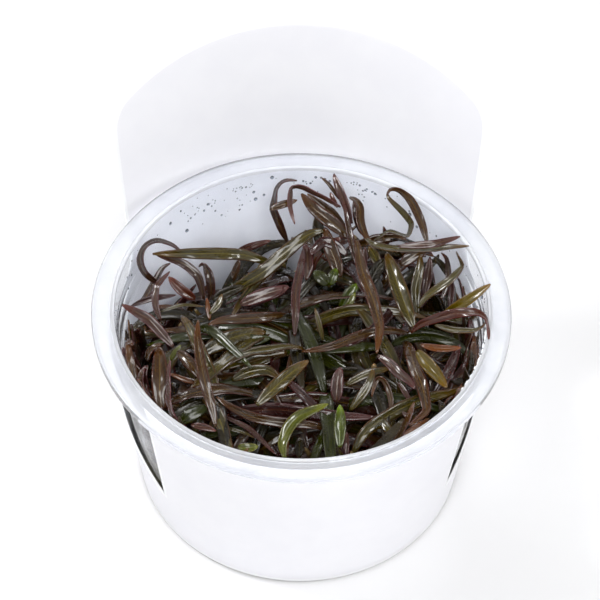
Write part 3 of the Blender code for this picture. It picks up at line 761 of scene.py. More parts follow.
def leaf_finish(name, colours, wet):
    """A leaf's finish from its five colours, and how wet it is, from 0 to 1."""
    blade, deep, margin, rib, tip = (paint(*colour) for colour in colours)
    finish, tree, shader = new_finish(name + "_leaf_finish", {
        "Coat Roughness": 0.06, "Coat IOR": 1.5, "IOR": 1.36})
    surface = add_node(tree, "ShaderNodeUVMap", {}, uv_map="blade").outputs[0]
    share, tone = remembered(tree, "share"), remembered(tree, "tone")
    marks = use_group(tree, blade_marks, {"Vector": surface, "Share": share})
    patches, film = mottle(tree, PATCH_SCALE), mottle(tree, FILM_SCALE)
    coats = ((patches, 0.45, deep), (fade(tree, share, *TIP_EDGE), 0.8, tip), (marks["Margin"], 0.5, margin),
             (marks["Veins"], 0.08, rib), (marks["Rib"], 0.40, rib))
    colour = tint(tree, marks["Streaks"], deep, blade)
    for mask, strength, coat in coats:
        colour = tint(tree, calculate(tree, "MULTIPLY", mask, strength), colour, coat)
    # Each vertex's tone scales the leaf's brightness: at random for the upper leaves, and lower in the
    # tangle, where the darkening is painted shade.
    shaded = add_node(tree, "ShaderNodeHueSaturation", {"Saturation": 1.1, "Value": tone, "Color": colour})
    set_looks(tree, shader, shaded.outputs[0], patches, (0.20, 0.36))
    feed(tree, shader.inputs["Coat Weight"], spread(tree, film, wet * FILM_LEAST, wet))
    height = calculate(tree, "ADD", marks["Height"], calculate(tree, "MULTIPLY", film, FILM_RELIEF))
    add_relief(tree, shader, height, strength=0.3, depth=0.0002)
    return finish


LEAF_COLOURS = {
    "olive": ((76, 66, 28), (44, 40, 18), (76, 42, 34), (128, 116, 54), (88, 62, 28)),
    "brown": ((74, 50, 26), (42, 28, 18), (78, 38, 36), (118, 96, 46), (84, 52, 28)),
    "purple": ((60, 38, 28), (34, 20, 18), (82, 40, 44), (104, 88, 36), (76, 42, 36)),
    "mauve": ((80, 54, 46), (48, 30, 28), (98, 56, 62), (112, 92, 60), (88, 54, 52)),
    "red": ((82, 44, 32), (50, 26, 22), (96, 46, 46), (112, 78, 44), (96, 50, 40)),
    "pink": ((92, 62, 52), (56, 38, 34), (112, 74, 72), (124, 98, 70), (112, 66, 60)),
    "maroon": ((60, 30, 27), (34, 18, 17), (76, 38, 40), (84, 56, 36), (68, 36, 34)),
    "orange": ((98, 58, 28), (76, 44, 24), (100, 54, 38), (128, 92, 50), (112, 62, 34)),
    "yellow": ((104, 88, 22), (72, 60, 20), (112, 76, 36), (140, 120, 50), (116, 84, 24)),
    "lime": ((90, 92, 30), (58, 62, 22), (92, 78, 38), (134, 136, 70), (116, 120, 50)),
    "green": ((68, 78, 22), (42, 48, 15), (64, 60, 28), (112, 124, 50), (104, 126, 34)),
    # shade is painted shade: the olive leaf at about half its brightness, for leaves that lie under others.
    "shade": ((40, 34, 15), (24, 20, 11), (42, 26, 20), (72, 66, 30), (50, 40, 20)),
    "deep_green": ((54, 58, 18), (33, 36, 12), (40, 34, 16), (68, 72, 28), (52, 58, 20)),
}
DAMP = {"shade": 0.55, "deep_green": 0.6}
leaf_finishes = {}
for name, colours in LEAF_COLOURS.items():
    leaf_finishes[name] = leaf_finish(name, colours, DAMP.get(name, 1.0))
print(len(leaf_finishes), "leaf finishes")

# %% [markdown]
# ## The leaves that can be told apart
#
# Every leaf is a narrow blade folded along its rib, widest near the middle, with a thin foot, a blunt
# tip, a wavy margin and its own twist. Sculpting fifty by hand would be slow, so a leaf is a list of
# places that it passes through, read from base to tip: (x, y, height, turn). A turn of 0 shows the
# eye the blade's full width, and 90 its edge.

# %% The leaf list
LEAVES = {
    "left_arch": ("purple", 2.3, (
        (-34.1, 7, 46.8, 25), (-37.3, 10, 50.6, 35), (-38.8, 14.6, 53.8, 48), (-38, 18.4, 55.6, 55),
        (-35, 20.6, 56.4, 60), (-31.8, 19.6, 55, 52), (-29.2, 17.4, 52.4, 40))),
    "left_long": ("olive", 3.0, (
        (-6.4, 13, 46.5, 0), (-12.5, 15.6, 49.2, 0), (-14.7, 16.1, 49.9, 0), (-17.6, 16.3, 50.9, 0),
        (-24.4, 16.5, 52.4, 10), (-31.2, 16.5, 53.5, 20), (-35.9, 16.4, 54, 30))),
    "cross_left": ("olive", 3.5, (
        (5.7, 23.6, 54.4, 0), (4.1, 23.4, 54.3, 0), (1.8, 22.3, 54, 0), (-0.3, 20.4, 53.4, 0),
        (-4.4, 15.9, 51.4, 0), (-8.6, 11, 49, 0), (-13.4, 7.1, 46, 0), (-20.4, 1.3, 41, 0))),
    "back_loop": ("purple", 2.3, (
        (-3, 19.9, 46.5, 30), (-4.7, 24.8, 50.6, 25), (-6.1, 29.7, 53.9, 40), (-6.4, 31.6, 55.1, 50),
        (-6, 36.1, 57, 65), (-5.4, 38, 57.7, 65), (-4.3, 39.7, 58.4, 70), (-2.8, 40.5, 58.7, 65),
        (-0.6, 40.3, 59, 60))),
    "back_strap": ("brown", 1.9, (
        (-7.2, 30.4, 57.2, 10), (-5.8, 31.6, 57.6, 5), (-0.6, 33.8, 58.4, 0))),
    "back_hook": ("mauve", 1.7, (
        (10.1, 31.5, 57.6, 35), (6.2, 34.5, 59.3, 45), (2.1, 37.4, 60.7, 50), (0.7, 38.1, 61.2, 50),
        (-0.9, 38.4, 61.5, 55), (-2.2, 37.4, 61.6, 55), (-2.4, 31.6, 60, 20), (-1.3, 25.8, 57.6, 10))),
    "back_broad": ("brown", 3.4, (
        (12.7, 21.4, 52.8, 0), (11.3, 22.5, 53.8, 0), (7.3, 26.9, 56.7, 0), (3.5, 31, 58.6, 0),
        (0.5, 35.9, 60, 0))),
    "back_inner": ("brown", 2.2, (
        (11.3, 23.9, 50.6, -20), (8.2, 29.1, 54.1, -5), (6.2, 31.3, 55.7, 0), (1.9, 35.9, 58, 0))),
    "back_tall": ("mauve", 2.3, (
        (12.8, 26, 54.6, 50), (11, 33.8, 58.6, 30), (9.1, 40.5, 60.5, 20), (8.8, 42.6, 60.9, 20))),
    "back_tip": ("brown", 1.0, (
        (10, 33.8, 55.6, 20), (7.6, 38.8, 58.5, 20), (5.5, 41.4, 59.5, 20))),
    "back_hump": ("purple", 2.7, (
        (15.6, 22.2, 51.6, 40), (14.9, 24.9, 53.8, 30), (14.2, 30.4, 57.3, 15), (13.7, 34.5, 58.9, 30))),
    "right_sweep": ("olive", 2.0, (
        (15.4, 22.2, 56, 40), (16.6, 20.2, 56.6, 30), (18, 19, 57, 30), (22, 17.8, 57.6, 30),
        (25, 17.6, 57.9, 35), (31.1, 17.6, 58.4, 30), (36.2, 18.3, 59, 20), (41.1, 18.6, 59.8, 20))),
    "right_red": ("mauve", 1.8, (
        (23.8, 18.6, 59.8, 0), (31.2, 19.2, 60.6, 0), (34.3, 19.9, 60.8, 0), (39.1, 21.7, 61, 0))),
    "right_loop": ("brown", 2.2, (
        (31, 19, 55, 0), (29.9, 26, 57.8, 0), (27.9, 32.9, 60, 15), (25.8, 36.2, 60.9, 40),
        (24.6, 37.3, 61, 50), (23.3, 37.6, 61, 55), (22.2, 36.9, 60.8, 55), (21.9, 35.4, 60.4, 45))),
    "right_loop_inner": ("olive", 1.8, (
        (18.2, 20.4, 54, 40), (21, 22.8, 55, 55), (22.2, 23.2, 55.4, 55), (25.8, 21.7, 56.4, 60),
        (26.7, 22.2, 56.7, 60), (27.1, 23.3, 57, 60), (27.4, 24.9, 57.5, 50), (27.2, 26.5, 58, 40),
        (25.5, 29.6, 58.8, 10), (22.4, 34, 59.7, 20), (21.9, 35.6, 59.9, 25), (22.2, 37, 60, 35))),
    "right_bow": ("olive", 2.2, (
        (27.8, -0.9, 50.4, 0), (28.9, 1.3, 51.7, 5), (30.6, 3.3, 53, 15), (36.1, 8, 56.3, 30),
        (38.5, 11, 57.3, 55), (39, 12.9, 57.6, 65), (37.9, 16.8, 57, 70))),
    "right_tip": ("yellow", 2.6, (
        (33.3, -3, 52, 0), (35.1, -2, 53.9, 0), (39, 1, 57.7, 0), (45.5, 6.5, 61.5, 0))),
    "right_red_arch": ("red", 2.3, (
        (25.7, -8.3, 53, 0), (27.5, -6.3, 55, 0), (29.6, -5, 56.7, 0), (35.7, -2.7, 59.9, 0),
        (39.6, -2.3, 61, 20), (41.6, -2.5, 61.2, 45), (43.1, -3.6, 61.2, 65), (43.8, -5.3, 60.9, 75),
        (43.9, -10.4, 59.9, 40))),
    "right_olive_bow": ("olive", 1.9, (
        (31.5, -6.1, 54, 30), (35.4, -7.5, 55.5, 30), (39.3, -7.9, 56.5, 45), (41.3, -7.5, 57.2, 55),
        (42.7, -6.5, 57.8, 65), (43.5, -5.2, 58.4, 70))),
    "right_shine": ("olive", 4.0, (
        (26.5, -7, 50.6, 0), (25.4, -3, 52.2, 0), (24, 3, 53.6, 0), (22.8, 8, 54.6, 0),
        (21.7, 13, 55.2, 0), (20.9, 16.6, 55.4, 0))),
    "right_upright": ("olive", 2.6, (
        (27.3, -3, 46.4, 0), (27.4, 4.7, 50.2, 0), (28.6, 11, 53.1, 0), (29.2, 16, 54.8, 0))),
    "right_mauve": ("mauve", 2.2, (
        (29.4, 3, 45.6, 0), (30.4, 8, 48.2, 0), (31, 12, 50.4, 0), (31.4, 15.2, 52, 0))),
    "center_upright": ("mauve", 2.2, (
        (-1.7, -9.2, 47, 20), (-1.4, -2.9, 49.3, 10), (-1.3, 4.1, 50.5, 0), (-0.1, 11.7, 51, 0),
        (0.7, 17.8, 50.2, 0))),
    "center_low": ("brown", 2.0, (
        (-1.7, -11.7, 46.2, 0), (-2.3, -16.1, 46.1, 0), (-3.3, -20.8, 45.4, 0), (-4.2, -25, 44.4, 0))),
    "center_red": ("red", 2.2, (
        (2.5, 9.5, 44, 0), (2.8, 12.4, 46, 0), (3.5, 15, 47.8, 0), (5, 17.7, 49.7, 0),
        (6.6, 19.4, 51.2, 0), (10.1, 21.5, 53, 0))),
    "left_curl": ("purple", 2.3, (
        (-22.1, 1.6, 43.6, 20), (-21.5, 3.9, 45.6, 20), (-21.9, 9.1, 49.2, 20),
        (-23.2, 12.5, 50.4, 50), (-24, 13, 50.1, 60), (-24.6, 12.2, 49.4, 60))),
    "left_red_curve": ("purple", 2.2, (
        (-23.2, 2.1, 44.8, 30), (-24.3, 7.8, 48.6, 10), (-25.6, 10.4, 50.3, 0), (-29.1, 13.7, 51.7, 0),
        (-34.8, 15.9, 52, 0))),
    "left_dark": ("purple", 1.8, (
        (-40.1, 0.2, 43.6, 40), (-38.1, 1.3, 44.2, 35), (-36.8, 3.2, 44.9, 30), (-35.1, 7.5, 46.5, 20),
        (-33.3, 11.8, 48.4, 20), (-31.5, 13.3, 49.2, 20))),
    "left_mauve": ("mauve", 1.8, (
        (-33.3, -4.5, 47.5, 20), (-34.7, 0.6, 49.9, 20), (-34.7, 5.5, 51.6, 25), (-34.1, 7, 52, 30),
        (-31.6, 10.7, 52, 50))),
    "left_stub": ("red", 2.6, (
        (-25.3, 2.1, 44.2, 0), (-28.9, 5.2, 46.7, 0), (-31.8, 9.1, 48.4, 0))),
    "left_pink": ("mauve", 2.6, (
        (-30.2, -12.3, 52, 0), (-35.2, -5.3, 55.6, 0), (-37, -3.4, 56.3, 0), (-42.7, 0.5, 57.6, 0))),
    "left_pink_low": ("brown", 2.6, (
        (-29.2, -13.8, 51.6, 0), (-27.3, -15.7, 52, 0), (-25.2, -18.8, 51.4, 0), (-23.6, -21.8, 50, 0))),
    "left_maroon_tip": ("maroon", 2.2, (
        (-37.3, -20.5, 46, 30), (-39.2, -17, 49, 20), (-41, -14.5, 51.4, 20), (-42.2, -12.3, 53, 20))),
    "left_maroon": ("maroon", 2.4, (
        (-35.5, -26.5, 45, 30), (-36.6, -23.4, 47.6, 20), (-36.9, -20.4, 49.8, 20),
        (-36, -17.8, 51.2, 30))),
    "left_broad": ("brown", 3.9, (
        (-32.4, -30.5, 46.6, 0), (-33, -26, 49, 0), (-33.1, -21, 50.6, 0), (-33.3, -16, 51.4, 0),
        (-33.6, -12.2, 51.4, 0))),
    "left_rib": ("mauve", 2.0, (
        (-26.8, -35.3, 48.4, 60), (-28.8, -33.6, 49.6, 60), (-30.2, -30.5, 51.4, 55),
        (-30.8, -26, 53.2, 55), (-30.9, -20.5, 54.4, 55), (-30.8, -16.2, 54.8, 55))),
    "front_blade": ("brown", 2.5, (
        (-20, -35.5, 51, 0), (-20.6, -32, 52.8, 0), (-21.7, -27, 55, 0), (-23, -21, 57.2, 0),
        (-24, -15, 59, 0), (-24.6, -9, 60.2, 0), (-24.5, -4.4, 60.9, 0))),
    "center_level": ("brown", 2.6, (
        (-3.1, -2.9, 45.6, 0), (-10, -3.6, 48.3, 0), (-18.9, -4.4, 49.6, 0), (-22.1, -5.8, 49.4, 0))),
    "center_wide": ("olive", 4.2, (
        (-24, -14.6, 44.6, 0), (-19, -11, 46, 0), (-15, -9.2, 46.2, 0), (-11, -8.2, 46, 0),
        (-8.6, -8.1, 45.6, 0))),
    "center_green": ("olive", 2.6, (
        (-21.5, -18.7, 43.4, 0), (-18.8, -18.3, 44, 0), (-15.9, -17.1, 44.7, 0),
        (-10.1, -14.9, 44.8, 0), (-7.1, -14.4, 44.3, 0), (-3.5, -14.5, 42.6, 0))),
    "front_glossy": ("olive", 3.4, (
        (-10.7, -29.4, 50.8, 0), (-7.6, -25.6, 52.4, 0), (-2.3, -19.8, 54.1, 0), (1.4, -16.6, 55, 0))),
    "front_stub": ("mauve", 3.0, (
        (7.6, -28.8, 47.6, 0), (8, -22.5, 51, 0), (8.9, -18.6, 52.5, 0))),
    "center_right": ("brown", 2.3, (
        (25.1, -8.5, 47.8, 0), (20.4, -7.6, 50.5, 0), (16.5, -8.1, 51.6, 0), (12.5, -9.6, 52, 0),
        (6.5, -12.5, 51.5, 0), (-0.1, -13.9, 49.8, 0))),
    "front_sweep": ("brown", 3.1, (
        (24, -11.1, 46.6, 0), (25.1, -13.5, 49.2, 0), (26.2, -19, 51.5, 0), (27.5, -23.8, 51.9, 0),
        (28.1, -30.1, 51.3, 20), (27.7, -31.7, 51, 30), (24, -35.4, 50.4, 40))),
    "front_orange": ("orange", 1.5, (
        (28.7, -33.5, 47.6, 0), (25.4, -36.2, 48.3, 0), (20.4, -39.8, 48.6, 0))),
    "right_yellow": ("yellow", 3.2, (
        (26.9, -13.8, 53.4, 0), (28.7, -17, 54.2, 0), (31, -20.6, 54.4, 0), (33.3, -24.6, 53.8, 0))),
    "right_orange": ("orange", 1.7, (
        (27.9, -12, 56, 0), (31, -12.9, 56.4, 0), (34.5, -13.1, 56.6, 0), (37.3, -12.9, 56.6, 0))),
    "back_sweep": ("brown", 3.0, (
        (13.7, 20.9, 56, 20), (14, 18.2, 56, 5), (14.9, 10.5, 55.8, 0), (16.8, 3.2, 55.5, 0),
        (18.1, -4, 55, 0), (18.3, -7.5, 54.7, 0), (17.4, -14.5, 53.6, 0))),
    "front_curve": ("lime", 2.8, (
        (-4.4, -44.4, 49.4, 0), (-4.9, -40.7, 50.6, 0), (-4.4, -38.4, 51.1, 0), (-3.5, -35.9, 51.6, 0),
        (-2, -33.7, 51.9, 0), (0, -32, 52, 0), (5.7, -29.2, 51.8, 0))),
    "front_green": ("green", 2.8, (
        (8.1, -41.5, 49.5, 0), (8.2, -37, 51.4, 0), (8.4, -33, 52.8, 0), (8.4, -29.5, 53.8, 0))),
    "front_level": ("brown", 2.4, (
        (6.5, -36.2, 46.4, 0), (1.5, -35.1, 47.6, 0), (-3, -34.6, 48.2, 0), (-7.5, -33.9, 48.6, 0),
        (-12, -32.6, 48.8, 0), (-16.5, -30, 49, 0), (-20, -27, 49, 0))),
}

print(len(LEAVES), "leaves")

# %% Smooth route
CURVE_STEPS = 16


def smooth_route(points, spacing, fewest=8):
    """Points at about this spacing along a smooth curve through the given 4-D points."""
    count = len(points)
    dense = []
    for i in range(count - 1):
        near = (points[min(max(k, 0), count - 1)] for k in (i - 1, i, i + 1, i + 2))
        before, first, last, after = near
        for step in range(CURVE_STEPS):
            t = step / CURVE_STEPS
            bend = (2 * before - 5 * first + 4 * last - after) * t ** 2
            twist = (3 * first - before - 3 * last + after) * t ** 3
            dense.append(0.5 * (2 * first + (last - before) * t + bend + twist))
    dense.append(points[-1])
    travelled = [0.0]
    for a, b in zip(dense, dense[1:]):
        travelled.append(travelled[-1] + (b.xyz - a.xyz).length)
    segments = max(fewest, round(travelled[-1] / spacing))
    route = []
    index = 0
    for k in range(segments + 1):
        goal = travelled[-1] * k / segments
        while index < len(dense) - 2 and travelled[index + 1] < goal:
            index += 1
        share = (goal - travelled[index]) / (travelled[index + 1] - travelled[index])
        route.append(dense[index].lerp(dense[index + 1], min(share, 1.0)))
    return route, travelled[-1]


print("route helper ready")

# %% Blade shape
BLADE_FOLDS = 0.03, 0.33
BLADE_LEAN = 0.08
BLADE_BULGE = 0.07
MARGIN_WAVE, WAVE_LENGTH, WAVE_OFFSET = 0.12, 7.0, 1.1
WIDEST_AT, FULLNESS = 0.46, 0.52
BASE_SHARE, TIP_SHARE = 0.24, 0.13
LEAF_THICKNESS = 0.28


def blade_share(t):
    """How wide a blade is at t of its length, as a share of its widest."""
    body = sin(pi * t ** (log(0.5) / log(WIDEST_AT))) ** FULLNESS if 0 < t < 1 else 0.0
    return max(body, BASE_SHARE * (1 - t) + TIP_SHARE * t)


def add_blade(bm, route, length, width, across, dice, tone, facing=None):
    """A folded blade along a route of (x, y, z, turn), facing the eye or this direction."""
    layers = bm.verts.layers.float
    share_layer = layers.get("share") or layers.new("share")
    tone_layer = layers.get("tone") or layers.new("tone")
    uv_layer = bm.loops.layers.uv.get("blade") or bm.loops.layers.uv.new("blade")
    last = len(route) - 1
    phase = dice.uniform(0, 2 * pi)
    lean = dice.uniform(-BLADE_LEAN, BLADE_LEAN)
    fold = dice.uniform(*BLADE_FOLDS)
    spots = {}

    def place(vert, u, v):
        station = round(v * last)
        here = route[station]
        ahead = (route[min(station + 1, last)] - route[max(station - 1, 0)]).xyz.normalized()
        towards = facing or (EYE - here.xyz).normalized()
        flat = ahead.cross(towards).normalized()
        upward = flat.cross(ahead)
        side = flat * cos(here.w) + upward * sin(here.w)
        outer = upward * cos(here.w) - flat * sin(here.w)
        s = 2 * u - 1
        t = station / last
        half = width / 2 * blade_share(t)
        along = length * t
        lift = abs(s) * fold + s * lean + BLADE_BULGE * sin(pi * abs(s))
        ripple = along * 2 * pi / WAVE_LENGTH + phase + (WAVE_OFFSET if s > 0 else 0)
        lift += MARGIN_WAVE * abs(s) * sin(ripple)
        vert[share_layer] = t
        vert[tone_layer] = tone
        spots[vert] = (u, along)
        return here.xyz + side * s * half + outer * lift * half

    wrapped_grid(bm, across, last, place)
    for vert, spot in spots.items():
        for loop in vert.link_loops:
            loop[uv_layer].uv = spot


print("width at a quarter, half and three quarters:", [round(blade_share(t), 2) for t in (0.25, 0.5, 0.75)])

# %% Make the leaves
STATION_SPACING = 0.75
BLADE_FACES = 8
BLADE_SHARP, LEAF_TONES = 80, (0.80, 1.08)


def traced_route(points):
    """The smooth route through a leaf's listed places, and its length."""
    places = [Vector((*seen_at(x, y, height), radians(turn))) for x, y, height, turn in points]
    return smooth_route(places, STATION_SPACING)


dice = random.Random(7)
for name, (finish, width, points) in LEAVES.items():
    route, length = traced_route(points)
    blade = bmesh.new()
    add_blade(blade, route, length, width, BLADE_FACES, dice, dice.uniform(*LEAF_TONES))
    bmesh.ops.recalc_face_normals(blade, faces=blade.faces)
    piece = finish_piece("blade_" + name, blade, leaf_finishes[finish], ["leaf_" + name],
                         sharp=BLADE_SHARP)
    solidify(piece, LEAF_THICKNESS, 0.0)
print("leaves made:", len(LEAVES))

# %% [markdown]
# ## More leaves of the tangle
#
# These smaller leaves can also be told apart, but the CAD model has no solid for them, so they only
# ride along. They are built by the same rule and joined into one mesh for each finish.

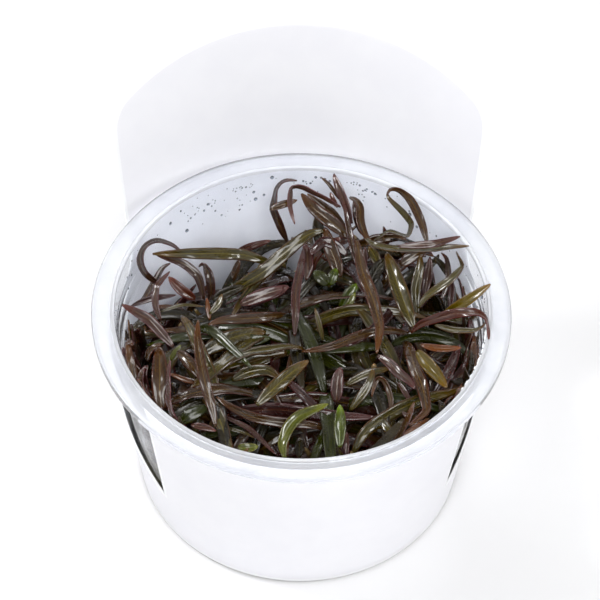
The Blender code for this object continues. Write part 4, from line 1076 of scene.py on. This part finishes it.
# %% The smaller leaves
SMALL_LEAVES = {
    "back_shoot": ("purple", 1.7, (
        (16.5, 4.8, 52.4, 10), (14.6, 11, 53.6, 10), (13, 17.4, 54.8, 10), (12.1, 23.1, 55.8, 10),
        (11.5, 28.8, 57, 10), (10.5, 34.6, 58.6, 10))),
    "back_hump_fall": ("brown", 2.2, (
        (12.4, 34.6, 58.4, 30), (13.7, 33.8, 58.8, 30), (14.8, 31.3, 58.6, 20), (14.8, 27.1, 57.6, 10),
        (15.6, 23.1, 56.8, 20), (17.3, 19.4, 56, 30))),
    "back_red_tip": ("red", 1.3, (
        (9.3, 31.3, 57.6, 0), (8.3, 33.8, 58.4, 0), (7.7, 36.3, 59, 10))),
    "back_wedge": ("shade", 3.4, (
        (5.7, 16.6, 50, 0), (4.8, 22.3, 52.4, 0), (4, 28, 54.4, 10))),
    "back_wedge_low": ("brown", 3.6, (
        (9.4, 8.7, 48, 0), (8.3, 14.2, 50.4, 0), (6.9, 19.8, 52.6, 0), (6.1, 24.7, 54.4, 0))),
    "back_pair_left": ("maroon", 2.6, (
        (11.4, 15.8, 51, 0), (8.4, 19, 52.4, 0), (5.4, 19.9, 53, 0), (2.3, 15.9, 52, 10))),
    "back_olive_short": ("olive", 2.6, (
        (18.9, 12.2, 51.6, 0), (17.8, 15.8, 52.8, 0), (16.7, 18.6, 53.6, 0))),
    "back_round": ("deep_green", 3.2, (
        (6.6, 6.4, 47, 0), (4.9, 8.7, 48.4, 0), (3.1, 10.7, 49, 0))),
    "back_round_pair": ("green", 2.6, (
        (6.9, 6.4, 47, 0), (7.7, 9.1, 48.6, 0), (8.6, 11.5, 49.4, 0))),
    "back_bright": ("green", 2.8, (
        (9.2, -0.6, 46, 0), (11, 2.5, 48, 0), (13.3, 6.7, 50, 0))),
    "back_bright_low": ("lime", 1.6, (
        (9.7, -2.2, 46.4, 0), (11.6, 0.9, 48.4, 0), (12.9, 4, 49.6, 0))),
    "back_dark_slant": ("shade", 3.2, (
        (16.5, 6.3, 50, 0), (18.2, 11, 52, 0), (20.8, 14.6, 53.4, 0))),
    "back_right_slant": ("brown", 3.0, (
        (24, 12.6, 51.6, 0), (27.2, 15.4, 53.2, 0), (30.9, 17.8, 54.2, 0))),
    "back_right_strand": ("purple", 1.5, (
        (33.4, 1.6, 50, 10), (35.4, 7.8, 52.4, 10), (35.5, 14.1, 54.4, 20), (34.2, 16.5, 55, 30))),
    "back_right_strand_low": ("maroon", 1.6, (
        (35.3, -1.5, 48, 10), (36, 4.7, 50.4, 10), (36, 11, 52.6, 20))),
    "left_low_red": ("maroon", 1.6, (
        (-40.5, 0, 46, 0), (-36.1, 2.2, 47.2, 0), (-29.9, 3.4, 48, 10))),
    "left_low_stalk": ("olive", 0.9, (
        (-33.6, -1.8, 46.6, 0), (-28.4, 0.3, 47.6, 0), (-23.2, -0.2, 48, 0))),
    "left_meeting": ("orange", 1.2, (
        (-21.7, -4.3, 46, 0), (-22.2, -0.7, 47.6, 0), (-22.5, 2.4, 48.8, 0))),
    "left_meeting_leaf": ("olive", 1.7, (
        (-21.9, -2.5, 47, 0), (-19.8, 0.6, 48.4, 0), (-18.9, 3.7, 49.4, 10))),
    "left_shadow_leaf": ("shade", 2.6, (
        (-21.3, 1.8, 46.4, 0), (-17.5, 4.3, 47.6, 0), (-13.7, 6.1, 48.2, 0))),
    "left_grey_leaf": ("mauve", 3.2, (
        (-14.6, 0.5, 46.4, 0), (-9.8, 3, 47.8, 0), (-4.1, 5.5, 48.6, 0))),
    "left_green_low": ("deep_green", 3.0, (
        (-17.4, -8, 44.6, 0), (-12.7, -10.4, 45.2, 0), (-7.5, -9.8, 45.4, 0))),
    "left_gloss_low": ("olive", 3.0, (
        (-18.7, -16.3, 44.4, 0), (-14.5, -15.7, 45.4, 0), (-9.9, -14, 46, 0), (-3.6, -14, 45.8, 0))),
    "left_gloss_lower": ("olive", 3.0, (
        (-16.4, -22.2, 44.4, 0), (-12.7, -19.9, 45.6, 0), (-8.5, -19.3, 46, 0), (-5.3, -21.7, 45.4, 0))),
    "left_edge_low": ("brown", 3.0, (
        (-36.1, -27.9, 45.6, 20), (-37.6, -22.1, 48, 20), (-39.1, -18.6, 50, 20), (-40.2, -16.2, 51, 30))),
    "left_edge_purple": ("purple", 1.8, (
        (-36.3, -26.7, 47.6, 30), (-37.6, -22.1, 49.6, 30), (-36.6, -18, 51, 40))),
    "mid_level": ("brown", 3.0, (
        (-21, -21.6, 41, 0), (-16, -21.6, 42.5, 0), (-12, -20, 43.5, 5), (-8, -19.7, 43.5, 5),
        (-5, -20.8, 42.5, 10))),
    "right_slant": ("mauve", 2.4, (
        (17.6, -15.2, 54.2, 10), (20, -17.2, 54.6, 10), (22.2, -20.2, 54.8, 10),
        (24.5, -22.6, 54.8, 10), (25.9, -25, 54.4, 10))),
    "mid_bright": ("green", 3.4, (
        (10.2, 1, 42, 10), (11.8, 3.8, 44, 10), (13.7, 6.6, 45.5, 10))),
    "mid_upright": ("mauve", 2.6, (
        (1.2, 8, 46.5, 0), (1.7, 12, 48, 0), (1.6, 16, 49, 0), (0.9, 19.4, 49.5, 10))),
    "back_dark": ("shade", 2.6, (
        (6.5, 20, 47, 0), (4.6, 24, 50, 10), (4.2, 29, 53, 15))),
    "back_small": ("red", 1.8, (
        (-15, 17.6, 38, 0), (-12, 18.7, 41, 0), (-7.2, 20.6, 44, 10))),
    "back_brown": ("brown", 1.8, (
        (-16.5, 8.5, 40, 0), (-15.6, 11.5, 40.5, 0), (-14.8, 14.5, 41, 0))),
    "right_dark": ("shade", 1.8, (
        (36.2, 7.6, 50, 20), (35.1, 10.8, 52, 20), (33.8, 13.2, 53.6, 20), (32.4, 15.4, 54.8, 20))),
    "right_dark_low": ("shade", 3.0, (
        (34.8, -3, 44, 0), (35.6, 2, 46.5, 0), (36, 8, 49, 0))),
    "front_twig": ("mauve", 1.2, (
        (-18.6, -32.5, 47.6, 0), (-16.2, -33.7, 47.4, 0), (-13.5, -35.3, 47, 0),
        (-11.8, -36.7, 46.6, 0), (-9.2, -39.8, 46, 0), (-6.4, -43.3, 45.6, 0))),
    "front_stalk": ("olive", 0.8, (
        (-19.4, -35.3, 46.5, 0), (-16.2, -36.3, 46.3, 0), (-13.3, -37.4, 46, 0), (-11, -38.8, 45.8, 0))),
    "front_rose": ("pink", 1.6, (
        (-25.6, -35, 50, 0), (-22.6, -35.6, 50.2, 0), (-19.9, -36.7, 50, 0))),
    "front_tip": ("lime", 2.2, (
        (-14.9, -41.2, 50, 10), (-12.6, -41.5, 50.2, 10), (-10.4, -41, 50, 10))),
    "low_green": ("deep_green", 3.4, (
        (-28.1, -34.2, 44, 0), (-25.9, -32.2, 45.5, 0), (-22, -29.9, 46, 0))),
    "front_olive": ("olive", 2.2, (
        (15.4, -33.3, 47.5, 0), (17.5, -34, 48, 0), (19.1, -36.2, 48, 0), (20.5, -38.8, 47.4, 0))),
    "front_lime": ("lime", 1.2, (
        (23.4, -34.1, 49, 0), (22.8, -35.8, 49.3, 0), (21.9, -37.6, 49, 0))),
    "front_grey": ("mauve", 0.9, (
        (22.7, -31.5, 50, 0), (23.6, -32.7, 50.2, 0), (24.5, -33.9, 50, 0))),
    "mid_olive": ("olive", 2.0, (
        (9.8, -23.8, 49.5, 0), (12.8, -21.7, 50.6, 0), (15.9, -20.1, 51.2, 0), (20.6, -18.8, 51.4, 0))),
    "mid_crossing": ("olive", 2.2, (
        (10.7, -31, 46.5, 0), (12.7, -27.9, 48.4, 0), (14.7, -24.7, 50, 0), (15.8, -21.8, 51.2, 0),
        (16.5, -18.9, 51.8, 0))),
    "right_hairpin": ("brown", 1.4, (
        (19.8, -33.1, 47.5, 0), (20.2, -29, 49, 5), (19.9, -25.8, 50.2, 15), (18.9, -22.6, 51.6, 40),
        (17.5, -21.9, 51.2, 20), (16.4, -24.4, 50, 5), (15.8, -27.3, 48.8, 0))),
    "right_pale": ("mauve", 1.3, (
        (22.1, -22.9, 49.4, 0), (23.5, -25.8, 49.2, 0), (24.8, -29, 48.6, 0))),
    "front_ribbon": ("mauve", 1.1, (
        (9.6, -44.1, 46.5, 0), (9.7, -40.8, 48, 0), (9.8, -37.2, 49, 0))),
    "front_upright": ("shade", 2.4, (
        (-1.1, -44.1, 45, 0), (-1, -41.3, 47.4, 0), (-0.8, -38.5, 49.4, 10))),
    "left_twig": ("orange", 1.2, (
        (-25.1, -23, 47.6, 0), (-28.2, -21.6, 49.4, 0), (-31, -20.2, 51, 0))),
    "left_brown_arch": ("brown", 1.8, (
        (-36.2, -16.5, 49, 20), (-35.7, -14, 51.4, 30), (-34.4, -12.2, 52.8, 40), (-32.8, -11.5, 53, 40))),
    "wall_red": ("red", 1.0, (
        (-12.5, 18.1, 44, 0), (-9.8, 19.6, 45, 0), (-7.4, 20.2, 45.8, 0))),
    "back_stalk": ("brown", 0.8, (
        (-16.3, 7.4, 44, 0), (-15.4, 10.8, 47, 0), (-14.7, 13.7, 49.5, 0))),
    "back_stem": ("olive", 1.3, (
        (4.9, -10.5, 46, 0), (4.1, -5.6, 48.8, 0), (3.2, -0.8, 51.4, 0))),
    "right_stalk": ("brown", 0.7, (
        (43.4, 2.5, 50, 0), (44.2, 4.8, 51.6, 0), (44.7, 7.2, 53, 0))),
    "back_lilac": ("mauve", 1.6, (
        (14.8, 10.4, 50, 0), (15.5, 14.8, 53, 10), (15.7, 18.4, 55, 20))),
    "left_cream": ("lime", 1.1, (
        (-30.8, -16.6, 49, 0), (-30, -14.2, 50.6, 0), (-28.4, -11.8, 52, 0))),
    "back_rose": ("red", 2.0, (
        (12, 21, 48, 0), (10, 20.2, 48.2, 0), (8, 19, 47.4, 0))),
    "right_maroon": ("maroon", 2.6, (
        (30, -27, 44, 0), (33, -22, 46.5, 0), (35.5, -16, 48.5, 0), (37, -12, 49.6, 10))),
    "right_maroon_low": ("maroon", 2.4, (
        (34, -27, 44, 0), (36, -22, 45.6, 0), (38.4, -17, 46.8, 0))),
    "mid_grey": ("mauve", 3.0, (
        (-12, 2, 44, 0), (-8, 3.4, 45.4, 0), (-3, 6, 46.6, 0))),
}

SMALL_TONES = 0.76, 1.08
clumps = {}


def clump(finish):
    """The one mesh that gathers every small leaf of this finish."""
    if finish not in clumps:
        clumps[finish] = bmesh.new()
    return clumps[finish]


for name, (finish, width, points) in SMALL_LEAVES.items():
    route, length = traced_route(points)
    add_blade(clump(finish), route, length, width, BLADE_FACES, dice, dice.uniform(*SMALL_TONES))
print("smaller leaves:", len(SMALL_LEAVES))

# %% [markdown]
# ## Stems
#
# A stem is a thin tube, swollen at each node, where two leaves face each other. A curve with a bevel
# would give the tube but not the nodes, so the same wrapped grid is rolled up, and its two ends are
# drawn in to a point, which closes it.

# %% Stems
STEM_RADIUS = 0.85
STEM_TAPER = 0.25
NODE_SPACING = 6.5
NODE_SWELL, NODE_REACH = 0.45, 0.7
STEM_SIDES = 10
SEAM_TOWARDS = Vector((0.3, 1, 0.1))
SKIN_SCALE = 260.0


def add_stem(bm, route, length, radius):
    """A closed tube along a route, thicker at each node and drawn in at its ends."""
    layers = bm.verts.layers.float
    tone_layer = layers.get("tone") or layers.new("tone")
    last = len(route) - 1

    def place(vert, u, v):
        station = round(v * last)
        ahead = (route[min(station + 1, last)] - route[max(station - 1, 0)]).xyz.normalized()
        side = ahead.cross(SEAM_TOWARDS).normalized()
        off_node = (length * v + NODE_SPACING / 2) % NODE_SPACING - NODE_SPACING / 2
        swell = 1 + NODE_SWELL * exp(-(off_node / NODE_REACH) ** 2)
        thick = radius * swell * (1 - STEM_TAPER * v)
        if station in (0, last):
            thick = 0.0
        vert[tone_layer] = 1.0 - 0.5 * abs(off_node) / NODE_SPACING
        turn = 2 * pi * u
        return route[station].xyz + (side * cos(turn) + side.cross(ahead) * sin(turn)) * thick

    wrapped_grid(bm, STEM_SIDES, last, place)


stem_skin, tree, shader = new_finish("stem_skin_finish", {"Coat Weight": 0.4, "Coat Roughness": 0.1})
near_node = fade(tree, remembered(tree, "tone"), 0.92, 1.0)
patches = mottle(tree, SKIN_SCALE)
skin = tint(tree, patches, paint(96, 84, 44), paint(120, 96, 60))
set_looks(tree, shader, tint(tree, near_node, skin, paint(92, 60, 48)), patches, (0.3, 0.5))
add_relief(tree, shader, patches, strength=0.3, depth=0.0002)
print("stem sides:", STEM_SIDES)

# %% The rooted shoots
SHOOTS = {
    "stem_left": ((-16, 12), (-22.6, 0.4, 41.6)),
    "stem_left_front": ((-20, -6), (-28.6, -13.6, 48.6)),
    "stem_back": ((9, 26), (13.4, 22.4, 48.2)),
    "stem_right": ((20, 2), (26, -8.6, 44.6)),
    "stem_center": ((1, 4), (3.4, -6.4, 42.6)),
    "stem_front": ((14, -14), (16.8, -17.4, 48.6)),
}
ROOTED_AT = GEL_TOP + WALL_GAP
STEM_BOW = 0.09

for name, (foot, top) in SHOOTS.items():
    start, end = Vector((*foot, ROOTED_AT)), seen_at(*top)
    bow = Vector((end.y - start.y, start.x - end.x, 0)) * STEM_BOW
    places = [Vector((*spot, 0)) for spot in (start, start.lerp(end, 0.5) + bow, end)]
    route, length = smooth_route(places, spacing=0.8)
    stem = bmesh.new()
    add_stem(stem, route, length, STEM_RADIUS)
    tidy(stem)
    finish_piece(name.replace("stem", "shoot"), stem, stem_skin, [name], sharp=BLADE_SHARP)
print("rooted shoots:", len(SHOOTS))

# %% [markdown]
# ## The tangle below
#
# Between the leaves that can be told apart lie hundreds that can't: in each other's shade, painted darker
# still as painted shade, bent where they meet the wall. They follow the plant's own rule. A shoot carries a
# pair of leaves at each node, each pair turned a quarter from the last, and a leaf arches out, sinks under
# its weight, and slides up the wall where it has no more room. The dice are seeded, so each run grows the
# same tangle.

# %% Where the tangle may grow
CLEAR_OF_WALL, WALL_CLIMB = 1.2, 0.7
HIGHEST, LOWEST = 48.5, GEL_TOP + 0.8
FOLIAGE_EDGE = ((-46, -20), (-42, -4), (-36, 2), (-28, 6), (-21, 9), (-14, 15), (-6, 21), (0, 25), (12, 27),
                (22, 25), (30, 20), (36, 14), (42, 6), (46, -8))


def in_foliage(point):
    """Whether the eye sees this point inside the outline of the tangle."""
    x, y = seen_from(point)
    for (x0, y0), (x1, y1) in zip(FOLIAGE_EDGE, FOLIAGE_EDGE[1:]):
        if x0 <= x <= x1:
            return y <= y0 + (y1 - y0) * (x - x0) / (x1 - x0)
    return False


def kept_inside(point):
    """The point, moved off the wall and between the gel and the lowest of the upper leaves."""
    z = min(max(point.z, LOWEST), HIGHEST)
    reach = hypot(point.x, point.y)
    most = inner_radius(z) - CLEAR_OF_WALL
    if reach <= most:
        return Vector((point.x, point.y, z))
    share = most / reach
    return Vector((point.x * share, point.y * share, z + (reach - most) * WALL_CLIMB))


print("tangle from", LOWEST, "to", HIGHEST, "mm")

# %% One arching leaf
LEAF_STEPS = 6
FILLER_SIZES, HEADINGS, FILLER_CURLS = (24, 46), (-0.4, 0.4), (-1.0, 1.0)
FILLER_RISES, FILLER_SINKS, FILLER_TURNS = (0.30, 0.95), (0.30, 0.90), (-25, 25)


def arching_places(base, heading):
    """A leaf that leaves its stem at base, rises, curls and sinks, as places for a route."""
    size = dice.uniform(*FILLER_SIZES)
    heading += dice.uniform(*HEADINGS)
    rise, sink = dice.uniform(*FILLER_RISES), dice.uniform(*FILLER_SINKS)
    curl = dice.uniform(*FILLER_CURLS)
    spot, places = base, []
    for step in range(LEAF_STEPS + 1):
        places.append(Vector((*kept_inside(spot), radians(dice.uniform(*FILLER_TURNS)))))
        slope = rise - (rise + sink) * step / LEAF_STEPS
        way = heading + curl * step / LEAF_STEPS
        spot = spot + Vector((cos(way) * cos(slope), sin(way) * cos(slope), sin(slope))) * size / LEAF_STEPS
    return places


print("filler leaves, shortest and longest in mm:", *FILLER_SIZES)

# %% Grow the tangle
EDGE_FINISHES = ("shade", "shade", "brown", "purple", "maroon", "olive", "brown")
MIDDLE_FINISHES = ("shade", "olive", "deep_green", "deep_green", "deep_green", "deep_green", "brown")
FILLERS, FILLER_REACH, GOLDEN_TURN = 56, 37, 2.4
EDGE_FROM, NARROW_FROM = 22, 24
HEAD_SHIFT, BEND_SHIFT, HEAD_RISE, REACH_PER_RISE = (-8, 8), (-3, 3), (22, 30), 6
# The tangle's tones run lower than the upper leaves': painted shade for leaves that lie under others.
THINNESS, SHADED_FILLER_TONES = (0.6, 0.9), (0.62, 1.0)
WIDE, NARROW, FILLER_FACES = (2.3, 3.8), (2.0, 3.4), 4
filler_stems = bmesh.new()
grown = 0

for shoot in range(FILLERS):
    angle = shoot * GOLDEN_TURN
    reach = FILLER_REACH * sqrt((shoot + 0.5) / FILLERS)
    foot = Vector((reach * cos(angle), reach * sin(angle), ROOTED_AT))
    sideways, backwards = dice.uniform(*HEAD_SHIFT), dice.uniform(*HEAD_SHIFT)
    upwards = dice.uniform(HEAD_RISE[0], HEAD_RISE[1] + reach / REACH_PER_RISE)
    head = kept_inside(foot + Vector((sideways, backwards, upwards)))
    finishes = EDGE_FINISHES if reach > EDGE_FROM else MIDDLE_FINISHES
    bend = foot.lerp(head, 0.5) + Vector((dice.uniform(*BEND_SHIFT), dice.uniform(*BEND_SHIFT), 0))
    places = [Vector((*spot, 0)) for spot in (foot, kept_inside(bend), head)]
    if not in_foliage(head):
        continue
    route, length = smooth_route(places, spacing=1.2)
    add_stem(filler_stems, route, length, STEM_RADIUS * dice.uniform(*THINNESS))
    turn = dice.uniform(0, pi)
    for node in range(1, int(length / NODE_SPACING) + 1):
        turn += pi / 2
        station = round(node * NODE_SPACING / length * (len(route) - 1))
        base = route[min(len(route) - 1, station)].xyz
        for heading in (turn, turn + pi):
            leaf_places = arching_places(base, heading)
            if not all(in_foliage(spot.xyz) for spot in leaf_places):
                continue
            leaf_route, leaf_length = smooth_route(leaf_places, spacing=2.4)
            width = dice.uniform(*(WIDE if reach < NARROW_FROM else NARROW))
            add_blade(clump(dice.choice(finishes)), leaf_route, leaf_length, width, FILLER_FACES, dice,
                      dice.uniform(*SHADED_FILLER_TONES), dice.choice((None, Vector((0, 0, 1)))))
            grown += 1
print("leaves on shoots:", grown)

# %% [markdown]
# Many more leaves press against the clear wall, where the side windows of the card show them. They lie
# along the wall rather than across the cup, so they follow it in height and angle.

# %% Leaves against the wall
WALL_LEAVES, WALL_STEPS = 130, 5
WALL_SIDES, WALL_FAN = (radians(-95), radians(75)), (-45, 45)
FEET_BELOW, WALL_TOP = 38, 50.5
WALL_SLOPES, WALL_DRIFTS, WALL_TURNS = (0.35, 1.4), (-0.5, 0.3), (-20, 20)
WALL_SIZES, WALL_WIDTHS, WALL_GAPS = (16, 32), (1.9, 3.4), (0.9, 3.2)

for leaf in range(WALL_LEAVES):
    angle = WALL_SIDES[leaf % 2] + radians(dice.uniform(*WALL_FAN))
    z, slope = dice.uniform(LOWEST, FEET_BELOW), dice.uniform(*WALL_SLOPES)
    way = dice.choice((-1, 1))
    size, drift = dice.uniform(*WALL_SIZES), dice.uniform(*WALL_DRIFTS)
    gap = dice.uniform(*WALL_GAPS)
    leaf_places = []
    for step in range(WALL_STEPS + 1):
        reach = inner_radius(z) - gap
        twist = radians(dice.uniform(*WALL_TURNS))
        leaf_places.append(Vector((reach * sin(angle), -reach * cos(angle), z, twist)))
        z = min(z + sin(slope) * size / WALL_STEPS, WALL_TOP)
        angle += way * cos(slope) * size / WALL_STEPS / reach
        slope += drift / WALL_STEPS
    if not all(in_foliage(spot.xyz) for spot in leaf_places):
        continue
    leaf_route, leaf_length = smooth_route(leaf_places, spacing=2.0)
    inward = Vector((-sin(angle), cos(angle), 0.2)).normalized()
    add_blade(clump(dice.choice(EDGE_FINISHES)), leaf_route, leaf_length, dice.uniform(*WALL_WIDTHS),
              FILLER_FACES, dice, dice.uniform(*SHADED_FILLER_TONES), inward)
    grown += 1
tidy(filler_stems)
finish_piece("tangle_stems", filler_stems, stem_skin, sharp=BLADE_SHARP)
print("tangle leaves:", grown)

# %% Join the tangle's leaves
for finish, leaves in clumps.items():
    bmesh.ops.recalc_face_normals(leaves, faces=leaves.faces)
    faces = len(leaves.faces)
    piece = finish_piece("tangle_" + finish, leaves, leaf_finishes[finish],
                         sharp=BLADE_SHARP)
    solidify(piece, LEAF_THICKNESS, 0.0)
    print(piece.name, faces, "faces before thickness")

# %% [markdown]
# ## Condensation
#
# A closed cup of wet plants fogs inside. Beads of water sit on the inner wall near the mouth, thickest
# at the back, where the wall shows above the leaves, and along the front rim on the right. Each
# bead is a sphere pressed flat against its wall, with few faces because there are hundreds.

# %% Beads on the wall
BEADS, BEADS_SPREAD = 120, 1.1
BEAD_LOW, BEAD_HIGH, CROWD_UP = 45.5, 56.0, 0.7
SMALLEST, BIGGER_BY, MOSTLY_SMALL = 0.16, 0.42, 3
BEAD_SIDES, BEAD_RINGS, BEAD_SINK, BEAD_STRETCH = 8, 5, 0.02, (0.9, 1.3)


def add_bead(bm, angle, z, radius, flatness=0.5):
    """A flattened bead on the inner wall, with angle 0 at the front and growing towards +X."""
    outward = Vector((sin(angle), -cos(angle), 0))
    middle = outward * (inner_radius(z) - BEAD_SINK - radius * flatness) + Vector((0, 0, z))
    turned = Matrix.Rotation(angle, 4, "Z")
    sizes = Matrix.Diagonal((radius, radius * flatness, radius * dice.uniform(*BEAD_STRETCH), 1))
    placed = Matrix.Scale(MM, 4) @ Matrix.Translation(middle) @ turned @ sizes
    bmesh.ops.create_uvsphere(bm, u_segments=BEAD_SIDES, v_segments=BEAD_RINGS, radius=1.0, matrix=placed)


beads = bmesh.new()
for bead in range(BEADS):
    angle = pi + dice.gauss(0, BEADS_SPREAD)
    height = BEAD_LOW + (BEAD_HIGH - BEAD_LOW) * dice.random() ** CROWD_UP
    add_bead(beads, angle, height, SMALLEST + BIGGER_BY * dice.random() ** MOSTLY_SMALL)
print("bead faces:", len(beads.faces))

# %% Groups of small beads, and the row on the rim
DOT_PATCHES = ((-16.5, 53.3), (-14.5, 53.6), (-12.5, 53.7), (-22.4, 52.3), (-25.1, 51.6), (-16.3, 50.2),
               (-14.3, 47.5), (2.6, 53.4), (13.9, 55.1), (16.2, 53.7), (15.3, 51.6), (19.2, 54.0))
DOTS, DOT_SHIFT, DOT_LIFT, DOT_SIZES = (2, 6), (-1.4, 1.4), (-0.8, 0.8), (0.14, 0.30)
ROW_BEADS, ROW_HEIGHT, ROW_FLATNESS = 170, 56.1, 0.8
ROW_FROM, ROW_TO = radians(8), radians(84)
ROW_SHIFT, ROW_LIFT, ROW_SIZES = (-0.01, 0.01), (-0.7, 0.5), (0.16, 0.42)

for x, z in DOT_PATCHES:
    for dot in range(dice.randint(*DOTS)):
        dot_x, dot_z = x + dice.uniform(*DOT_SHIFT), min(z + dice.uniform(*DOT_LIFT), BEAD_HIGH)
        add_bead(beads, pi - asin(dot_x / inner_radius(dot_z)), dot_z, dice.uniform(*DOT_SIZES))
row = bmesh.new()
for bead in range(ROW_BEADS):
    angle = ROW_FROM + (ROW_TO - ROW_FROM) * bead / ROW_BEADS + dice.uniform(*ROW_SHIFT)
    add_bead(row, angle, ROW_HEIGHT + dice.uniform(*ROW_LIFT), dice.uniform(*ROW_SIZES), ROW_FLATNESS)
for shape in (beads, row):
    bmesh.ops.recalc_face_normals(shape, faces=shape.faces)
print("bead faces:", len(beads.faces), "and", len(row.faces))

# %% [markdown]
# Fresh beads on the wall are nearly clear and look grey against the white card; that grey is painted shade
# in their colour, for the dark leaves that real beads show by bending light. The crowded row on the rim
# scatters light, so it is milky. Both are water, so both bend light by the same amount.

# %% Water
WATER_BEND, WATER_SCALE = 1.33, 300.0
# The grey of the wall beads is painted shade, for the dark leaves that clear water shows by bending light.
PAINTED_SHADE_WATER = paint(156, 162, 172), paint(200, 206, 214)
WHITE_WATER = paint(244, 248, 252), paint(255, 255, 255)


def water_piece(name, shape, finish_name, clear, colours, rough):
    finish, tree, shader = new_finish(finish_name, {"Transmission Weight": clear, "IOR": WATER_BEND})
    cloud = mottle(tree, WATER_SCALE)
    set_looks(tree, shader, tint(tree, cloud, *colours), cloud, rough)
    piece = finish_piece(name, shape, finish, sharp=180)
    piece.visible_shadow = False
    print(name, "made")


water_piece("condensation", beads, "clear_water", 0.92, PAINTED_SHADE_WATER, (0.01, 0.06))
water_piece("rim_condensation", row, "fogged_water", 0.45, WHITE_WATER, (0.1, 0.3))
